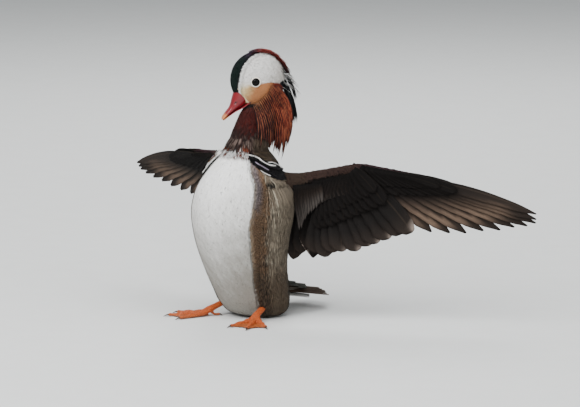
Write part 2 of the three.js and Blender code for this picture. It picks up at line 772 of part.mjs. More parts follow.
function leg({ side, heading }) {
  const joint = new THREE.Vector3(side * TARSUS.to[0], TARSUS.to[1], TARSUS.to[2]);
  const top = new THREE.Vector3(side * TARSUS.from[0], TARSUS.from[1], TARSUS.from[2]);
  const turnOf = (degrees) => {
    const turn = THREE.MathUtils.degToRad(degrees);
    return new THREE.Vector3(side * Math.sin(turn), -Math.cos(turn), 0);
  };
  const pieces = [
    limb([top, top.clone().lerp(joint, 0.5), joint], [TARSUS.radius + 0.6, TARSUS.radius, TARSUS.ankle]),
  ];
  const ways = TOES.map(({ spread, length }) => {
    const forward = turnOf(spread - heading);
    return { forward, tip: joint.clone().addScaledVector(forward, length) };
  });
  for (const { forward, tip } of ways) {
    const knuckle = joint.clone().lerp(tip, 0.5).setZ(TOE.radius);
    const nail = tip.clone().setZ(TOE.tip);
    pieces.push(limb([joint, knuckle, nail], [TOE.root, TOE.radius, TOE.tip], 6));
    const point = nail.clone().addScaledVector(forward, CLAW.length).setZ(CLAW.tip);
    const arch = nail.clone().lerp(point, 0.5).setZ(TOE.tip + 0.4);
    pieces.push(limb([nail.addScaledVector(forward, -1), arch, point], [CLAW.radius, 1, CLAW.tip], 5, 1));
  }
  const hind = joint.clone().addScaledVector(turnOf(180 - heading), HIND_TOE.length).setZ(HIND_TOE.radius);
  pieces.push(limb([joint, hind], [TOE.radius, HIND_TOE.radius], 6, 1));
  const web = (lift) =>
    [0.06, 0.5, 0.86].map((share, row) =>
      ways.map(({ tip }, k) =>
        joint
          .clone()
          .lerp(tip, row === 2 && k !== 1 ? share + 0.05 : share)
          .setZ(WEB.z + (row === 0 ? 1 : 0) + lift),
      ),
    );
  pieces.push(plate(web(WEB.thick / 2), web(-WEB.thick / 2)));
  return joined(pieces).trimByPlane([0, 0, 1], 0);
}

const trunk = trunkSolid();
const trunkRoom = trunkSolid(GAP);
const headCore = headSolid();
const headRoom = headSolid(GAP);
const neckRoom = neckSolid(GAP);
const eyes = { left: LEFT, right: RIGHT };

const root = new THREE.Group();

function addNode(name, solid, look) {
  const { vertProperties, triVerts } = largest(solid).getMesh();
  const geometry = new THREE.BufferGeometry();
  geometry.setAttribute("position", new THREE.BufferAttribute(vertProperties, 3));
  geometry.setIndex(new THREE.BufferAttribute(triVerts, 1));
  geometry.computeVertexNormals();
  const mesh = new THREE.Mesh(geometry, look);
  mesh.name = name;
  root.add(mesh);
}

addNode("torso", trunk, MATERIALS.belly);
addNode("neck", neckSolid().subtract(headRoom).subtract(trunkRoom), MATERIALS.throat);

let head = joined([headCore, ...ruff(LEFT), ...ruff(RIGHT), ...crest()]).subtract(neckRoom);
head = joined([head, ...Object.values(eyes).map(lids)]);
for (const side of Object.values(eyes))
  head = head.subtract(ballInHead(EYE.p, EYE.q, side * EYE.l, EYE.radius + GAP));
addNode("head", head, MATERIALS.face);
for (const [name, side] of Object.entries(eyes))
  addNode(`eye_${name}`, ballInHead(EYE.p, EYE.q, side * EYE.l, EYE.radius), MATERIALS.eye);
const billRoom = joined([headRoom, neckRoom]);
const nostrils = joined([nostril(LEFT), nostril(RIGHT)]);
addNode("bill_upper", billHalf("top", "mouth", 0).subtract(billRoom).subtract(nostrils), MATERIALS.bill);
addNode("bill_lower", billHalf("mouth", "low", GAP).subtract(billRoom), MATERIALS.bill);

for (const [name, pose] of Object.entries(WINGS))
  addNode(`wing_${name}`, wing(pose).subtract(trunkRoom), MATERIALS.wing);
addNode("tail", tail().subtract(trunkRoom), MATERIALS.tail);
for (const [name, pose] of Object.entries(LEGS))
  addNode(`leg_${name}`, leg(pose).subtract(trunkRoom), MATERIALS.leg);

export default root;
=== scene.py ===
"""A drake mandarin duck, rearing up with both wings spread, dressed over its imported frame.

Sizes are in millimetres until a mesh is made. The bird faces -Y, +X is its left side and z = 0 is the floor.
"""

import logging
import math
from dataclasses import dataclass, field
from enum import Enum, IntEnum
from typing import Callable, Iterable, Sequence

import bmesh
import bpy
import numpy as np
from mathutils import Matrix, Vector, kdtree
from mathutils.bvhtree import BVHTree

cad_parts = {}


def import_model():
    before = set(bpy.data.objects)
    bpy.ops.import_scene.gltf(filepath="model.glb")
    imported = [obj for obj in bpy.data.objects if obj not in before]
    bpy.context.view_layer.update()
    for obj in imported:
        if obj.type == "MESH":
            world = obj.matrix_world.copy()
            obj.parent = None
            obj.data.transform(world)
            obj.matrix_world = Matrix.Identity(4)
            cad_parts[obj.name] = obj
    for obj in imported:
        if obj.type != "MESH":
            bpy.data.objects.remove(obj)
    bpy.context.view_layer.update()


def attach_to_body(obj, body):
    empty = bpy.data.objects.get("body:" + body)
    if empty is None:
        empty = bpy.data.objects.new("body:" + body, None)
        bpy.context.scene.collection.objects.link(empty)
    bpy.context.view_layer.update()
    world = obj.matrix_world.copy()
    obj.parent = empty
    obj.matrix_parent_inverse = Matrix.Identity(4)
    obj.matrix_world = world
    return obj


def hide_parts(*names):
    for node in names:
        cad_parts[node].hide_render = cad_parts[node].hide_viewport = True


LOG = logging.getLogger("mandarin")
MM = 0.001
LEFT, RIGHT = 1, -1
SIDES = {LEFT: "left", RIGHT: "right"}
SEED = 11
FULL_TURN = 6.2832
Array = np.ndarray
Piece = bpy.types.Object
Material = bpy.types.Material
Shape = tuple[Array, list[tuple[int, ...]]]
Line = tuple[tuple[float, ...], ...]
Pair = tuple[float, float]
Pairs = Sequence[Pair]


def rgb(code: str) -> Array:
    """A colour as linear light, from its usual six-digit code."""
    value = np.array([int(code[i : i + 2], 16) / 255 for i in (0, 2, 4)])
    return np.where(value <= 0.04045, value / 12.92, ((value + 0.055) / 1.055) ** 2.4)


class Hue(Enum):
    """The colours of the plumage, horn and skin."""

    BELLY = "fbfaf8"
    # Painted shade: the white belly greyed, for its low parts, its sides and the vent.
    BELLY_PAINTED_SHADE = "8e8a82"
    BELLY_SHADE = "8f8a83"
    FLANK = "7c6149"
    FLANK_MAUVE = "776c6c"
    PLUME = "7b6f5f"
    PLUME_PALE = "b0a591"
    FLANK_LOW = "5c4d3d"
    # Painted shadow: the dark hole in the flank near the wing's root.
    HOLE_SHADOW = "14100d"
    BACK = "433a2b"
    BACK_GREEN = "1b2c26"
    RUMP = "2c241d"
    MANTLE = "544739"
    RUST = "6e3119"
    BAR_WHITE = "f4f2ef"
    BAR_LILAC = "978d9d"
    BAR_BLACK = "0b090c"
    NECK = "372a26"
    NECK_PALE = "7c6a61"
    NECK_DARK = "31201d"
    MAROON = "5a1f1a"
    THROAT = "120b0b"
    FACE_WHITE = "efedea"
    # Painted shade: the face's white greyed towards the rear of the head.
    FACE_PAINTED_SHADE = "b3aca4"
    FACE_CREAM = "e8dcb4"
    FACE_BUFF = "c9a877"
    FACE_ORANGE = "b4784e"
    RUFOUS = "6a2417"
    RUFF = "6b2418"
    RUFF_SHAFT = "bd7650"
    RUFF_DARK = "240a08"
    RUFF_MAROON = "461314"
    GREEN = "041713"
    PURPLE = "24112c"
    COPPER = "7a1f15"
    COPPER_DARK = "42100e"
    NAPE = "06080f"
    # Painted shade: the wing colours from UNDERWING to VANE, but for COVERT_BLACK, are about half as bright as the
    # feathers, for a wing in shade.
    UNDERWING = "100c0a"
    COVERT_BLACK = "0d0a09"
    FOREARM = "3b2c28"
    FOREARM_OLIVE = "3b2f28"
    HAND = "38262a"
    GREY_PATCH = "403b38"
    QUILL = "17110e"
    VANE = "271f1a"
    WEB_PALE = "6a5749"
    WEDGE = "9c8d83"
    SILVER = "8a8d90"
    SPECULUM = "0d2f36"
    SHAFT = "8f7a66"
    SAIL = "c05f1f"
    SAIL_PALE = "b9ad9a"
    TAIL = "3b2f24"
    TAIL_RED = "4a2a20"
    SKIN = "c2571a"
    WEB_SKIN = "a9551f"
    BILL = "760b16"
    BILL_PINK = "7d1823"
    NAIL = "c07848"
    CLAW = "30221a"
    LID = "f3ecdf"
    PUPIL = "050404"

    @property
    def light(self) -> Array:
        """The colour as linear light."""
        return rgb(self.value)


def coords(*values: Array | float) -> Array:
    """Points whose coordinates are the given values."""
    return np.stack(np.broadcast_arrays(*values), -1)


def unit(v: Array) -> Array:
    """Vectors of length one."""
    return v / np.maximum(np.linalg.norm(v, axis=-1, keepdims=True), 1e-9)


def ease(x: Array | float, low: float, high: float) -> Array:
    """A smooth step from 0 at low to 1 at high."""
    t = np.clip((np.asarray(x, float) - low) / (high - low), 0, 1)
    return t * t * (3 - 2 * t)


def fall(x: Array | float, low: float, high: float) -> Array:
    """A smooth step from 1 at low to 0 at high."""
    return 1 - ease(x, low, high)


def lit(colour: Array | Hue) -> Array:
    """A colour as linear light, whether it has a name or not."""
    return colour.light if isinstance(colour, Hue) else colour


def blend(a: Array | Hue, b: Array | Hue, share: Array) -> Array:
    """Colours between a and b, by a share for each point."""
    share = np.asarray(share)[..., None]
    return lit(a) * (1 - share) + lit(b) * share


def layered(base: Array | Hue, *layers: tuple[Array | Hue, Array]) -> Array:
    """Lays colours over a base one after another, each by a share for each point."""
    for colour, share in layers:
        base = blend(base, colour, share)
    return base


def ripple(points: Array, size: float, seed: float = 0.0) -> Array:
    """Smooth uneven values from about -1 to 1, with patches of a given size."""
    p = points / size
    turn = np.array([[0.8, 0.6, 0.1], [-0.5, 0.7, 0.5], [0.3, -0.4, 0.9]])
    total = np.zeros(points.shape[:-1])
    for k in range(3):
        p = p @ turn.T + seed + k
        total += np.sin(p[..., 0] * 2.1 + np.sin(p[..., 1] * 1.7)) * np.sin(p[..., 2] * 1.9 + p[..., 0])
        p = p * 1.9
    return total / 2


def stations(table: Sequence[Sequence[float]], at: Array | float) -> Array:
    """Reads a table of stations on a smooth curve.

    Args:
        table: rows of a place and the values there, in order of place.
        at: the places to read.

    Returns:
        The values, one row for each place.
    """
    rows = np.array(table, float)
    keys, values = rows[:, 0], rows[:, 1:]
    slopes = np.gradient(values, keys, axis=0)
    at = np.clip(np.atleast_1d(np.asarray(at, float)), keys[0], keys[-1])
    i = np.clip(np.searchsorted(keys, at, side="right") - 1, 0, len(keys) - 2)
    span = (keys[i + 1] - keys[i])[:, None]
    t = ((at - keys[i]) / (keys[i + 1] - keys[i]))[:, None]
    return (
        (2 * t**3 - 3 * t**2 + 1) * values[i]
        + (t**3 - 2 * t**2 + t) * span * slopes[i]
        + (3 * t**2 - 2 * t**3) * values[i + 1]
        + (t**3 - t**2) * span * slopes[i + 1]
    )


def curve(points: Sequence[Sequence[float]], t: Array | float) -> Array:
    """Points on a smooth curve through evenly spaced points, at shares t of the way."""
    return stations([[i / (len(points) - 1), *p] for i, p in enumerate(points)], t)


def bow(start: Array, middle: Array, end: Array, t: Array) -> Array:
    """Points at shares t of an arc that leaves its start, and reaches its end, in line with the middle."""
    near, half, far = (w[..., None] for w in ((1 - t) ** 2, 2 * t * (1 - t), t**2))
    return near * start + half * middle + far * end


def circle(count: int) -> Array:
    """Evenly spaced angles round a full turn."""
    return np.linspace(0, 2 * math.pi, count, endpoint=False)


def fade(colours: Sequence[tuple[float, Hue]], value: Array) -> Array:
    """Reads colours at places on a scale, blended smoothly between them."""
    keys, hues = zip(*colours)
    lights = np.array([hue.light for hue in hues])
    return np.stack([np.interp(value, keys, lights[:, i]) for i in range(3)], -1)


def beside(a: Array, b: Array, line: Sequence[Pair]) -> Array:
    """How far flat points lie from a line through several places."""
    at = coords(a, b)
    gaps = []
    for start, end in zip(line[:-1], line[1:]):
        run = np.subtract(end, start)
        share = (((at - start) @ run) / (run @ run)).clip(0, 1)
        gaps.append(np.linalg.norm(at - start - share[..., None] * run, axis=-1))
    return np.min(gaps, axis=0)


class Atlas(Enum):
    """Where each part of the skin lies when it is laid flat: left, bottom, width and height."""

    TRUNK = (0.02, 0.02, 0.6, 0.5)
    NECK = (0.65, 0.02, 0.32, 0.16)
    TAIL = (0.65, 0.22, 0.15, 0.15)
    RUFF = (0.82, 0.22, 0.15, 0.25)
    HEAD_LEFT = (0.02, 0.56, 0.2, 0.4)
    HEAD_RIGHT = (0.24, 0.56, 0.2, 0.4)
    WING_LEFT = (0.48, 0.56, 0.48, 0.2)
    WING_RIGHT = (0.48, 0.78, 0.48, 0.2)

    def place(self, a: Array, b: Array) -> Array:
        """Turns shares across and up this part into a place on the sheet."""
        left, low, width, height = self.value
        return coords(left + width * np.clip(a, 0, 1), low + height * np.clip(b, 0, 1))


PATCH = 0.003


@dataclass
class Batch:
    """Many small closed shapes gathered into one mesh, with a tint and two flat maps for each vertex."""

    points: list[Array] = field(default_factory=list)
    tints: list[Array] = field(default_factory=list)
    vanes: list[Array] = field(default_factory=list)
    places: list[Array] = field(default_factory=list)
    faces: list[tuple[Array, bool]] = field(default_factory=list)
    count: int = 0

    def add(
        self, points: Array, tints: Array, vanes: Array, places: Array, faces: Iterable[tuple[Array, bool]]
    ) -> None:
        """Adds one block of vertices and its faces.

        Args:
            points: vertex places.
            tints: vertex colours, and as a fourth value how strongly the feather is barred.
            vanes: places across and along the feather, from 0 to 1.
            places: places on the unwrapped skin.
            faces: arrays of faces with equal corner counts, each with whether they are flat.
        """
        self.points.append(points)
        self.tints.append(np.pad(tints, ((0, 0), (0, 4 - tints.shape[1]))))
        self.vanes.append(vanes)
        self.places.append(places)
        self.faces += [(block + self.count, flat) for block, flat in faces]
        self.count += len(points)

    def build(self, name: str) -> Piece:
        """Makes the mesh object."""
        mesh = bpy.data.meshes.new(name)
        points = np.concatenate(self.points) * MM
        loops = np.concatenate([block.ravel() for block, _ in self.faces]).astype(np.int32)
        sizes = np.concatenate([np.full(len(block), block.shape[1]) for block, _ in self.faces])
        flats = np.concatenate([np.full(len(block), flat) for block, flat in self.faces])
        mesh.vertices.add(len(points))
        mesh.vertices.foreach_set("co", points.astype(np.float32).ravel())
        mesh.loops.add(len(loops))
        mesh.loops.foreach_set("vertex_index", loops)
        mesh.polygons.add(len(sizes))
        starts = np.concatenate([[0], np.cumsum(sizes)[:-1]]).astype(np.int32)
        mesh.polygons.foreach_set("loop_start", starts)
        mesh.update(calc_edges=True)
        mesh.attributes.new("sharp_face", "BOOLEAN", "FACE").data.foreach_set("value", flats)
        attach(mesh, "Tint", np.concatenate(self.tints))
        for label, source in (("OFBake", self.places), ("Vane", self.vanes)):
            layer = mesh.uv_layers.new(name=label)
            layer.uv.foreach_set("vector", np.concatenate(source)[loops].astype(np.float32).ravel())
        mesh.validate()
        return stand(name, mesh)


def blades(
    batch: Batch, centres: Array, normals: Array, widths: Array, ridge: Array, tints: Array, places: Array
) -> None:
    """Adds feathers as thin three-sided blades that end in a point.

    Args:
        batch: where they go.
        centres: the shaft of each, as rows of points from root to tip.
        normals: the outward direction at each row.
        widths: the width at each row.
        ridge: the height of the shaft over the edges at each row.
        tints: the colour at each row.
        places: each root's place on the unwrapped skin.
    """
    many, rows = centres.shape[:2]
    run = np.gradient(centres, axis=1)
    side = unit(np.cross(normals, run))
    half = side * widths[..., None] / 2
    body = np.stack([centres - half, centres + normals * ridge[..., None], centres + half], 2)
    body = body[:, :-1].reshape(many, -1, 3)
    points = np.concatenate([body, centres[:, -1:]], 1)
    each = 3 * (rows - 1) + 1
    tint = np.concatenate([np.repeat(tints[:, :-1], 3, axis=1), tints[:, -1:]], 1)
    along = np.linspace(0, 1, rows)
    vane = np.array([[u, v] for v in along[:-1] for u in (0.0, 0.5, 1.0)] + [[0.5, 1.0]])
    place = places[:, None] + (vane[None] - 0.5) * PATCH
    smooth, flat = [], []
    for r in range(rows - 2):
        a, b = 3 * r, 3 * r + 3
        smooth += [(a, b, b + 1, a + 1), (a + 1, b + 1, b + 2, a + 2)]
        flat.append((a + 2, b + 2, b, a))
    end, tip = 3 * (rows - 2), 3 * (rows - 1)
    shift = (np.arange(many) * each)[:, None, None]

    def spread(pattern: list[tuple[int, ...]]) -> Array:
        """Repeats one feather's faces for all of them."""
        return (np.array(pattern)[None] + shift).reshape(-1, len(pattern[0]))

    batch.add(
        points.reshape(-1, 3),
        tint.reshape(-1, tint.shape[-1]),
        np.tile(vane, (many, 1)),
        place.reshape(-1, 2),
        [
            (spread(smooth), False),
            (spread(flat), True),
            (spread([(end, tip, end + 1), (end + 1, tip, end + 2)]), False),
            (spread([(end + 2, tip, end), (0, 1, 2)]), True),
        ],
    )


def vane_sheet(
    batch: Batch, top: Array, bottom: Array, tint_top: Array, tint_bottom: Array, place: Array, size: float
) -> None:
    """Adds one broad feather as a closed sheet between two grids of points.

    Args:
        batch: where it goes.
        top: the upper face, rows from root to tip by columns from edge to edge.
        bottom: the lower face.
        tint_top: the colours of the upper face.
        tint_bottom: the colours of the lower face.
        place: the middle of its patch on the flat sheet, which its two faces share side by side.
        size: the patch's width.
    """
    rows, columns = top.shape[:2]
    grid = np.arange(rows * columns).reshape(rows, columns)
    a, b, c, d = grid[:-1, :-1], grid[:-1, 1:], grid[1:, 1:], grid[1:, :-1]
    upper = coords(a, b, c, d).reshape(-1, 4)
    under = rows * columns
    lower = upper[:, ::-1] + under
    rim = np.concatenate([grid[0, :-1], grid[:-1, -1], grid[-1, :0:-1], grid[:0:-1, 0]])
    after = np.roll(rim, -1)
    wall = coords(after, rim, rim + under, after + under)
    across, along = np.meshgrid(np.linspace(0, 1, columns), np.linspace(0, 1, rows))
    vane = coords(across, along).reshape(-1, 2)
    points = np.concatenate([top.reshape(-1, 3), bottom.reshape(-1, 3)])
    normal = np.cross(top[1, 0] - top[0, 0], top[0, -1] - top[0, 0])
    faces = [upper, lower, wall]
    if np.dot(normal, top[0, 0] - bottom[0, 0]) > 0:
        faces = [block[:, ::-1] for block in faces]
    batch.add(
        points,
        np.concatenate([tint_top.reshape(-1, 3), tint_bottom.reshape(-1, 3)]),
        np.tile(vane, (2, 1)),
        np.concatenate([place + (vane - 0.5) * (size * 0.48, size) + (x * size, 0) for x in (-0.25, 0.25)]),
        [(faces[0], False), (faces[1], False), (faces[2], True)],
    )


def loft(rings: Array) -> Shape:
    """Points and faces of a closed solid through rings of points with equal counts."""
    count, sides = rings.shape[:2]
    points = np.concatenate([rings.reshape(-1, 3), rings[0].mean(0)[None], rings[-1].mean(0)[None]])
    faces = []
    for r in range(count - 1):
        for k in range(sides):
            a, b = r * sides + k, r * sides + (k + 1) % sides
            faces.append((a, b, b + sides, a + sides))
    for k in range(sides):
        a, b = k, (k + 1) % sides
        faces.append((count * sides, b, a))
        faces.append((count * sides + 1, a + (count - 1) * sides, b + (count - 1) * sides))
    return points, faces


def stand(name: str, data: bpy.types.ID) -> Piece:
    """A new object in the scene."""
    piece = bpy.data.objects.new(name, data)
    bpy.context.scene.collection.objects.link(piece)
    return piece


def attach(mesh: bpy.types.Mesh, name: str, values: Array) -> None:
    """Gives a mesh a number, or a colour of four values, for each vertex."""
    kind, key = ("FLOAT", "value") if values.ndim == 1 else ("FLOAT_COLOR", "color")
    mesh.attributes.new(name, kind, "POINT").data.foreach_set(key, values.astype(np.float32).ravel())


def solid(name: str, parts: Iterable[Shape]) -> Piece:
    """One object that holds several closed solids."""
    points, faces, count = [], [], 0
    for part, shape in parts:
        points.append(part * MM)
        faces += [tuple(i + count for i in face) for face in shape]
        count += len(part)
    mesh = bpy.data.meshes.new(name)
    mesh.from_pydata(np.concatenate(points).tolist(), [], faces)
    mesh.update()
    return stand(name, mesh)


def turn_outwards(piece: Piece) -> None:
    """Makes every face of a closed mesh point outwards, and shades it smoothly."""
    work = bmesh.new()
    work.from_mesh(piece.data)
    bmesh.ops.recalc_face_normals(work, faces=work.faces)
    work.to_mesh(piece.data)
    work.free()
    piece.data.shade_smooth()


def shaped(piece: Piece) -> bpy.types.Mesh:
    """A piece's mesh with its modifiers applied."""
    bpy.context.view_layer.update()
    graph = bpy.context.evaluated_depsgraph_get()
    return bpy.data.meshes.new_from_object(piece.evaluated_get(graph))


def fuse(piece: Piece, grain: float, softness: int) -> Piece:
    """Fuses overlapping solids into one smooth skin.

    Args:
        piece: the object with the solids, which is used up.
        grain: the size of the new faces.
        softness: how many rounds of smoothing blend the joins.

    Returns:
        The fused object, under the same name.
    """
    turn_outwards(piece)
    remesh = piece.modifiers.new("fuse", "REMESH")
    remesh.mode = "VOXEL"
    remesh.voxel_size = grain * MM
    soften = piece.modifiers.new("soften", "SMOOTH")
    soften.factor = 0.5
    soften.iterations = softness
    mesh, name = shaped(piece), piece.name
    bpy.data.objects.remove(piece)
    mesh.name = name
    mesh.shade_smooth()
    return stand(name, mesh)


def vertex_data(piece: Piece) -> tuple[Array, Array]:
    """Vertex places in millimetres and vertex normals."""
    mesh, read = piece.data, []
    for source, key in ((mesh.vertices, "co"), (mesh.vertex_normals, "vector")):
        values = np.empty(len(mesh.vertices) * 3, np.float32)
        source.foreach_get(key, values)
        read.append(values.reshape(-1, 3).astype(float))
    return read[0] / MM, read[1]


def paint(piece: Piece, tints: Array) -> None:
    """Gives a mesh its vertex tints."""
    attach(piece.data, "Tint", np.concatenate([tints, np.ones((len(tints), 1))], 1))


class Value:
    """A node socket that takes part in Python expressions."""

    def __init__(self, shop: "Shop", socket: bpy.types.NodeSocket) -> None:
        """Wraps a socket of a shop's tree."""
        self.shop = shop
        self.socket = socket

    def _math(self, operation: str, *terms: object) -> "Value":
        """Adds one Math node over the given terms."""
        return self.shop.add("Math", {"operation": operation}, {i: term for i, term in enumerate(terms)})

    def __add__(self, other: object) -> "Value":
        """The sum."""
        return self._math("ADD", self, other)

    __radd__ = __add__

    def __sub__(self, other: object) -> "Value":
        """The difference."""
        return self._math("SUBTRACT", self, other)

    def __rsub__(self, other: object) -> "Value":
        """The difference, the other way round."""
        return self._math("SUBTRACT", other, self)

    def __mul__(self, other: object) -> "Value":
        """The product."""
        return self._math("MULTIPLY", self, other)

    __rmul__ = __mul__

    def abs(self) -> "Value":
        """The size without its sign."""
        return self._math("ABSOLUTE", self)

    def sin(self) -> "Value":
        """The sine."""
        return self._math("SINE", self)

    def step(self, low: float, high: float) -> "Value":
        """A smooth step from 0 at low to 1 at high."""
        settings = {"interpolation_type": "SMOOTHSTEP"}
        return self.shop.add("MapRange", settings, {"Value": self, "From Min": low, "From Max": high})


class Graph:
    """A node tree, and the one way to add a node to it."""

    def __init__(self, tree: bpy.types.NodeTree) -> None:
        """Starts with an empty tree."""
        self.tree = tree
        tree.nodes.clear()

    def add(self, kind: str, settings: dict[str, object], values: dict[object, object], out: object = 0) -> Value:
        """Adds a node.

        Args:
            kind: the node type, which may leave out the ShaderNode prefix.
            settings: what is set on the node before its sockets.
            values: numbers, tuples or links for the sockets, by name or number.
            out: the output socket that is handed back.

        Returns:
            The chosen output.
        """
        node = self.tree.nodes.new(kind if "Node" in kind else "ShaderNode" + kind)
        for key, value in settings.items():
            setattr(node, key, value)
        for key, value in values.items():
            if isinstance(value, Value):
                self.tree.links.new(value.socket, node.inputs[key])
            else:
                node.inputs[key].default_value = value
        return Value(self, node.outputs[out])


class Shop(Graph):
    """Builds one material's node tree."""

    def __init__(self, name: str) -> None:
        """Starts a material with nothing but its output."""
        self.material = bpy.data.materials.new(name)
        self.material.use_nodes = True
        super().__init__(self.material.node_tree)
        self.end = self.tree.nodes.new("ShaderNodeOutputMaterial")

    def mix(self, share: object, a: object, b: object, way: str = "MIX") -> Value:
        """Mixes two colours."""
        settings = {"data_type": "RGBA", "blend_type": way}
        return self.add("Mix", settings, {0: share, 6: a, 7: b}, 2)

    def place(self) -> Value:
        """The place on the object."""
        return self.add("TexCoord", {}, {}, "Object")

    def noise(self, scale: float, detail: float) -> Value:
        """A noise from 0 to 1 over the object."""
        return self.add("TexNoise", {}, {"Vector": self.place(), "Scale": scale, "Detail": detail})

    def flat(self, layer: str) -> tuple[Value, Value]:
        """The two values of a flat map."""
        across = self.add("SeparateXYZ", {}, {"Vector": self.add("UVMap", {"uv_map": layer}, {})})
        return across, Value(self, across.socket.node.outputs[1])

    def tint(self) -> Value:
        """The colour of the vertices."""
        return self.add("Attribute", {"attribute_name": "Tint"}, {}, "Color")

    def shaded(self, tint: Value, shade: Value) -> Value:
        """A colour under a grey shade."""
        grey = self.add("CombineColor", {}, {0: shade, 1: shade, 2: shade})
        return self.mix(1.0, tint, grey, "MULTIPLY")

    def bump(self, height: Value, depth: float) -> Value:
        """A bump of a given depth in metres."""
        return self.add("Bump", {}, {"Height": height, "Distance": depth, "Strength": 1.0})

    def finish(
        self, colour: Value, rough: object, bump: Value | None = None, more: dict[str, object] | None = None
    ) -> Material:
        """Ends the tree in one Principled shader."""
        sockets = {"Base Color": colour, "Roughness": rough, **(more or {})}
        if bump is not None:
            sockets["Normal"] = bump
        shader = self.add("BsdfPrincipled", {}, sockets)
        self.tree.links.new(shader.socket, self.end.inputs["Surface"])
        return self.material


class Bench(Graph):
    """Builds one Geometry Nodes tree with named inputs, and applies it to a piece."""

    def __init__(self, name: str) -> None:
        """Starts a tree with one geometry in and one out."""
        super().__init__(bpy.data.node_groups.new(name, "GeometryNodeTree"))
        for way in ("INPUT", "OUTPUT"):
            self.tree.interface.new_socket("Geometry", in_out=way, socket_type="NodeSocketGeometry")
        self.start = self.tree.nodes.new("NodeGroupInput")
        self.end = self.tree.nodes.new("NodeGroupOutput")
        self.given: dict[str, float | int] = {}

    def size(self, name: str, value: float | int) -> Value:
        """Adds a named input and remembers its value."""
        kind = "NodeSocketInt" if isinstance(value, int) else "NodeSocketFloat"
        socket = self.tree.interface.new_socket(name, in_out="INPUT", socket_type=kind)
        self.given[socket.identifier] = value
        return Value(self, self.start.outputs[name])

    def run(self, piece: Piece, made: Value, finish: Material) -> None:
        """Realises what was made, gives it a material, and puts it in the piece's place as a plain mesh."""
        whole = self.add("GeometryNodeRealizeInstances", {}, {0: made})
        whole = self.add("GeometryNodeSetMaterial", {}, {"Geometry": whole, "Material": finish})
        self.tree.links.new(whole.socket, self.end.inputs[0])
        modifier = piece.modifiers.new(self.tree.name, "NODES")
        modifier.node_group = self.tree
        for identifier, value in self.given.items():
            modifier[identifier] = value
        mesh = shaped(piece)
        piece.modifiers.clear()
        piece.data = mesh


@dataclass(frozen=True)
class Scutes:
    """The small raised scales on the toes and shanks, strewn over the skin wherever it is scaly."""

    scute: float = 0.0015
    apart: float = 0.00125
    flatness: float = 0.4
    density: float = 900000.0

    def cover(self, piece: Piece, finish: Material) -> None:
        """Covers a foot, whose "Scaly" attribute says where scales grow."""
        bench = Bench(f"scutes_{piece.name}")
        scute, apart = bench.size("Scute Size", self.scute), bench.size("Apart", self.apart)
        flatness, density = bench.size("Flatness", self.flatness), bench.size("Density", self.density)
        seed = bench.size("Seed", SEED)
        foot = Value(bench, bench.start.outputs["Geometry"])
        scaly = bench.add("GeometryNodeInputNamedAttribute", {"data_type": "FLOAT"}, {"Name": "Scaly"})
        spots = {"Mesh": foot, "Distance Min": apart, "Density Max": density, "Density Factor": scaly, "Seed": seed}
        points = bench.add("GeometryNodeDistributePointsOnFaces", {"distribute_method": "POISSON"}, spots, "Points")
        turn = Value(bench, points.socket.node.outputs["Rotation"])
        ball = bench.add("GeometryNodeMeshUVSphere", {}, {"Segments": 8, "Rings": 4, "Radius": scute * 0.5})
        spread = bench.add("FunctionNodeRandomValue", {}, {"Min": 0.8, "Max": 1.15, "Seed": seed}, 1)
        flat = bench.add("CombineXYZ", {}, {0: spread, 1: spread, 2: spread * flatness})
        laid = {"Points": points, "Instance": ball, "Rotation": turn, "Scale": flat}
        scutes = bench.add("GeometryNodeInstanceOnPoints", {}, laid)
        both = bench.add("GeometryNodeJoinGeometry", {}, {0: scutes})
        bench.tree.links.new(foot.socket, both.socket.node.inputs[0])
        bench.run(piece, both, finish)
        piece.data.shade_smooth()


def linear(hue: Hue) -> tuple[float, ...]:
    """A colour as a socket takes it."""
    return (*map(float, hue.light), 1.0)


@dataclass(frozen=True)
class Plumage:
    """Feathers that take their colour from their tint, with a shaft, fine barbs, painted shade at the roots and,
    where asked, painted shade at the edges.

    The tint's fourth value is how strongly a feather is barred.
    """

    name: str
    barbs: float = 60.0
    depth: float = 0.0002
    root_painted_shade: float = 0.3
    edge_painted_shade: float = 0.0
    roughness: float = 0.8
    sheen: float = 0.04
    shaft: float = 0.0
    shaft_hue: Hue = Hue.SHAFT
    shaft_width: float = 0.045
    gloss: float = 0.15
    speckles: float = 420.0
    bands: float = 5.0

    def make(self) -> Material:
        """The material."""
        shop = Shop(self.name)
        tint = shop.tint()
        barring = Value(shop, tint.socket.node.outputs["Alpha"])
        across, along = shop.flat("Vane")
        aside = (across - 0.5).abs()
        barb = ((along * self.barbs - aside * self.barbs * 0.6) * FULL_TURN).sin()
        speckle = shop.noise(self.speckles, 2.0)
        waves = ((along * self.bands + aside * 1.5 + speckle) * FULL_TURN).sin().step(-0.3, 0.4)
        # painted shade: the roots, under the feathers above, are darker
        shade = (1.0 - self.root_painted_shade) + along.step(0.0, 0.7) * self.root_painted_shade
        shade = shade * (0.9 + speckle * 0.2) * (1.0 + barb * 0.05) * (1.0 - waves * barring * 0.75)
        # painted shade: the edges are darkened for the shaded gaps between neighbouring feathers
        shade = shade * (1.0 - aside.step(0.16, 0.46) * self.edge_painted_shade)
        line = 1.0 - aside.step(self.shaft_width * 0.5, self.shaft_width * 1.6)
        line = line * along.step(0.0, 0.3) * (1.0 - along.step(0.7, 0.98)) * self.shaft
        shaft = shop.mix(0.4, tint, linear(self.shaft_hue))
        return shop.finish(
            shop.mix(line, shop.shaded(tint, shade), shaft),
            self.roughness,
            shop.bump(barb * 0.5 + speckle, self.depth),
            {"Sheen Weight": self.sheen, "Sheen Roughness": 0.5, "Specular IOR Level": self.gloss},
        )


